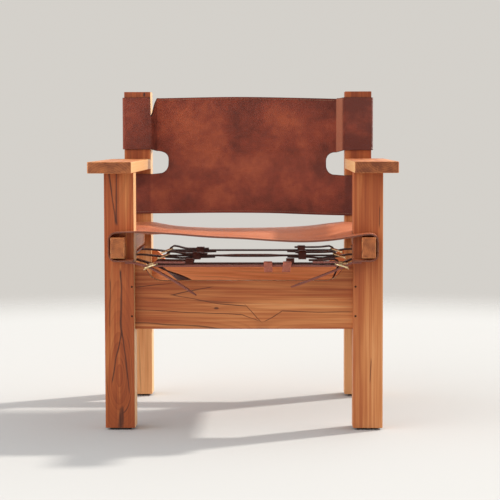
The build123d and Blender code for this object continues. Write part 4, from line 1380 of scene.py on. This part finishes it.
for i, (row_name, x, top, bottom, lean) in enumerate(keeper_places):
    here = seat_ends[row_name, "left"].origin

    def on_seat(s, up, across, x=x, here=here):
        return (x + s, here.y - across, here.z + up)

    material = keeper_pale if row_name == "front" else strap_brown
    ring = keeper(f"seat_keeper_{i + 1}", on_seat, top, bottom, lean, material)
    if i == 0:
        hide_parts("seat_keepers")
for i, row_name in enumerate(back_ends):
    here = back_ends[row_name].origin

    def on_back(s, up, across, here=here):
        return (RIGHT_KEEPER + s, here.y - up, here.z - across)

    ring = keeper(f"back_keeper_{i + 1}", on_back, snug_top, snug_bottom, 0, strap_brown)
    if i == 0:
        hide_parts("back_keepers")
print(len(keeper_places) + len(back_ends), "keepers")

# %% [markdown]
# ## Stitches
#
# A row of stitches is one short piece of thread repeated along a line, which is what Geometry
# Nodes is for. The line is a mesh of edges laid on the leather. The tree turns it into a curve,
# sets points along it one stitch apart, puts a small rod on each point, turned to follow the
# line, and makes the copies real, so the result is a plain mesh.


# %% Stitch tree
def stitch_tree():
    tree = bpy.data.node_groups.new("stitches", "GeometryNodeTree")
    kinds = {
        "Line": "Geometry", "Spacing": "Float", "Long": "Float", "Thick": "Float",
        "Thread": "Material",
    }
    for name, kind in kinds.items():
        tree.interface.new_socket(name, in_out="INPUT", socket_type=f"NodeSocket{kind}")
    tree.interface.new_socket("Stitches", in_out="OUTPUT", socket_type="NodeSocketGeometry")
    net = Tree(tree)

    given = tree.nodes.new("NodeGroupInput")
    line, spacing, long, thick, thread = (Wire(net, given.outputs[name]) for name in kinds)
    curve = net.node("GeometryNodeMeshToCurve", {}, {"Mesh": line})
    places = net.node(
        "GeometryNodeCurveToPoints", {"mode": "LENGTH"}, {"Curve": curve, "Length": spacing}
    )
    turn = Wire(net, places.socket.node.outputs["Rotation"])
    rod = net.node(
        "GeometryNodeMeshCylinder", {"fill_type": "TRIANGLE_FAN"},
        {"Vertices": 6, "Side Segments": 2, "Radius": thick, "Depth": long},
    )
    copying = {"Points": places, "Instance": rod, "Rotation": turn}
    copies = net.node("GeometryNodeInstanceOnPoints", {}, copying)
    real = net.node("GeometryNodeRealizeInstances", {}, {"Geometry": copies})
    dressed = net.node("GeometryNodeSetMaterial", {}, {"Geometry": real, "Material": thread})
    net.link(dressed, tree.nodes.new("NodeGroupOutput"), "Stitches")
    return tree


thread_finish, ply = speckled(
    "waxed_thread", 1800, 2, (0.16, 0.070, 0.045), (0.40, 0.230, 0.160),
    roughness=0.6, specular=0.3,
)
thread_finish.bump(ply, 0.0001)
stitching = stitch_tree()
print("stitch tree has", len(stitching.nodes), "nodes")

# %% [markdown]
# The seams are drawn on the flat hide: along the back's top and bottom edges and down the rear
# edge of each sleeve. Every point of a seam is then lifted off the leather along its normal.

# %% Sewing
STITCH, STITCH_LONG, THREAD = 6.0, 4.4, 0.55


def laid_on(place, u, v, lift):
    """The point of a hide at (u, v), lifted off the hide along its normal."""
    here = Vector(place(u, v))
    across = Vector(place(u + 0.5, v)) - Vector(place(u - 0.5, v))
    upward = Vector(place(u, v + 0.5)) - Vector(place(u, v - 0.5))
    return here + across.cross(upward).normalized() * lift


def sew(name, place, runs, lift):
    """Stitches along each run, which is a list of places on the flat hide."""
    vertices, links = [], []
    for run in runs:
        first = len(vertices)
        vertices += [laid_on(place, u, v, lift) * MM for u, v in run]
        links += [(i, i + 1) for i in range(first, len(vertices) - 1)]
    line = add_mesh(name, vertices, links=links)
    repeat = modify(line, "stitches", "NODES", node_group=stitching)
    values = {
        "Spacing": STITCH * MM, "Long": STITCH_LONG * MM, "Thick": THREAD * MM,
        "Thread": thread_finish.material,
    }
    for item in stitching.interface.items_tree:
        if item.in_out == "INPUT" and item.name in values:
            repeat[item.identifier] = values[item.name]
    evaluated = line.evaluated_get(bpy.context.evaluated_depsgraph_get())
    made = bpy.data.meshes.new_from_object(evaluated)
    line.modifiers.remove(repeat)
    line.data = made
    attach(line, "chair")
    print(name, len(made.polygons), "faces")


EDGE_IN, CREASE_CLEAR = 5.0, 8
SEW_LIFT = HIDE + 0.1
SEAM_TOP = {-1: 706, 1: 768}
LOBE_HALF, SEWN_HALF = 300, CREASE_X - CREASE_CLEAR
bottom_run = [(u, lobe_bottom(u) + EDGE_IN) for u in steps(-LOBE_HALF, LOBE_HALF, 6)]
top_run = [(u, panel_top(u) - EDGE_IN) for u in steps(-SEWN_HALF, SEWN_HALF, 6)]
sew("back_edge_stitches", back_place, [bottom_run, top_run], SEW_LIFT)
sleeve_seams = []
for hand in (-1, 1):
    seam_u = hand * (upper_wing.length - EDGE_IN)
    seam = steps(SLEEVE_LOW[hand] + EDGE_IN, SEAM_TOP[hand], 6)
    sleeve_seams.append([(seam_u, z) for z in seam])
sew("sleeve_stitches", back_place, sleeve_seams, SEW_LIFT)
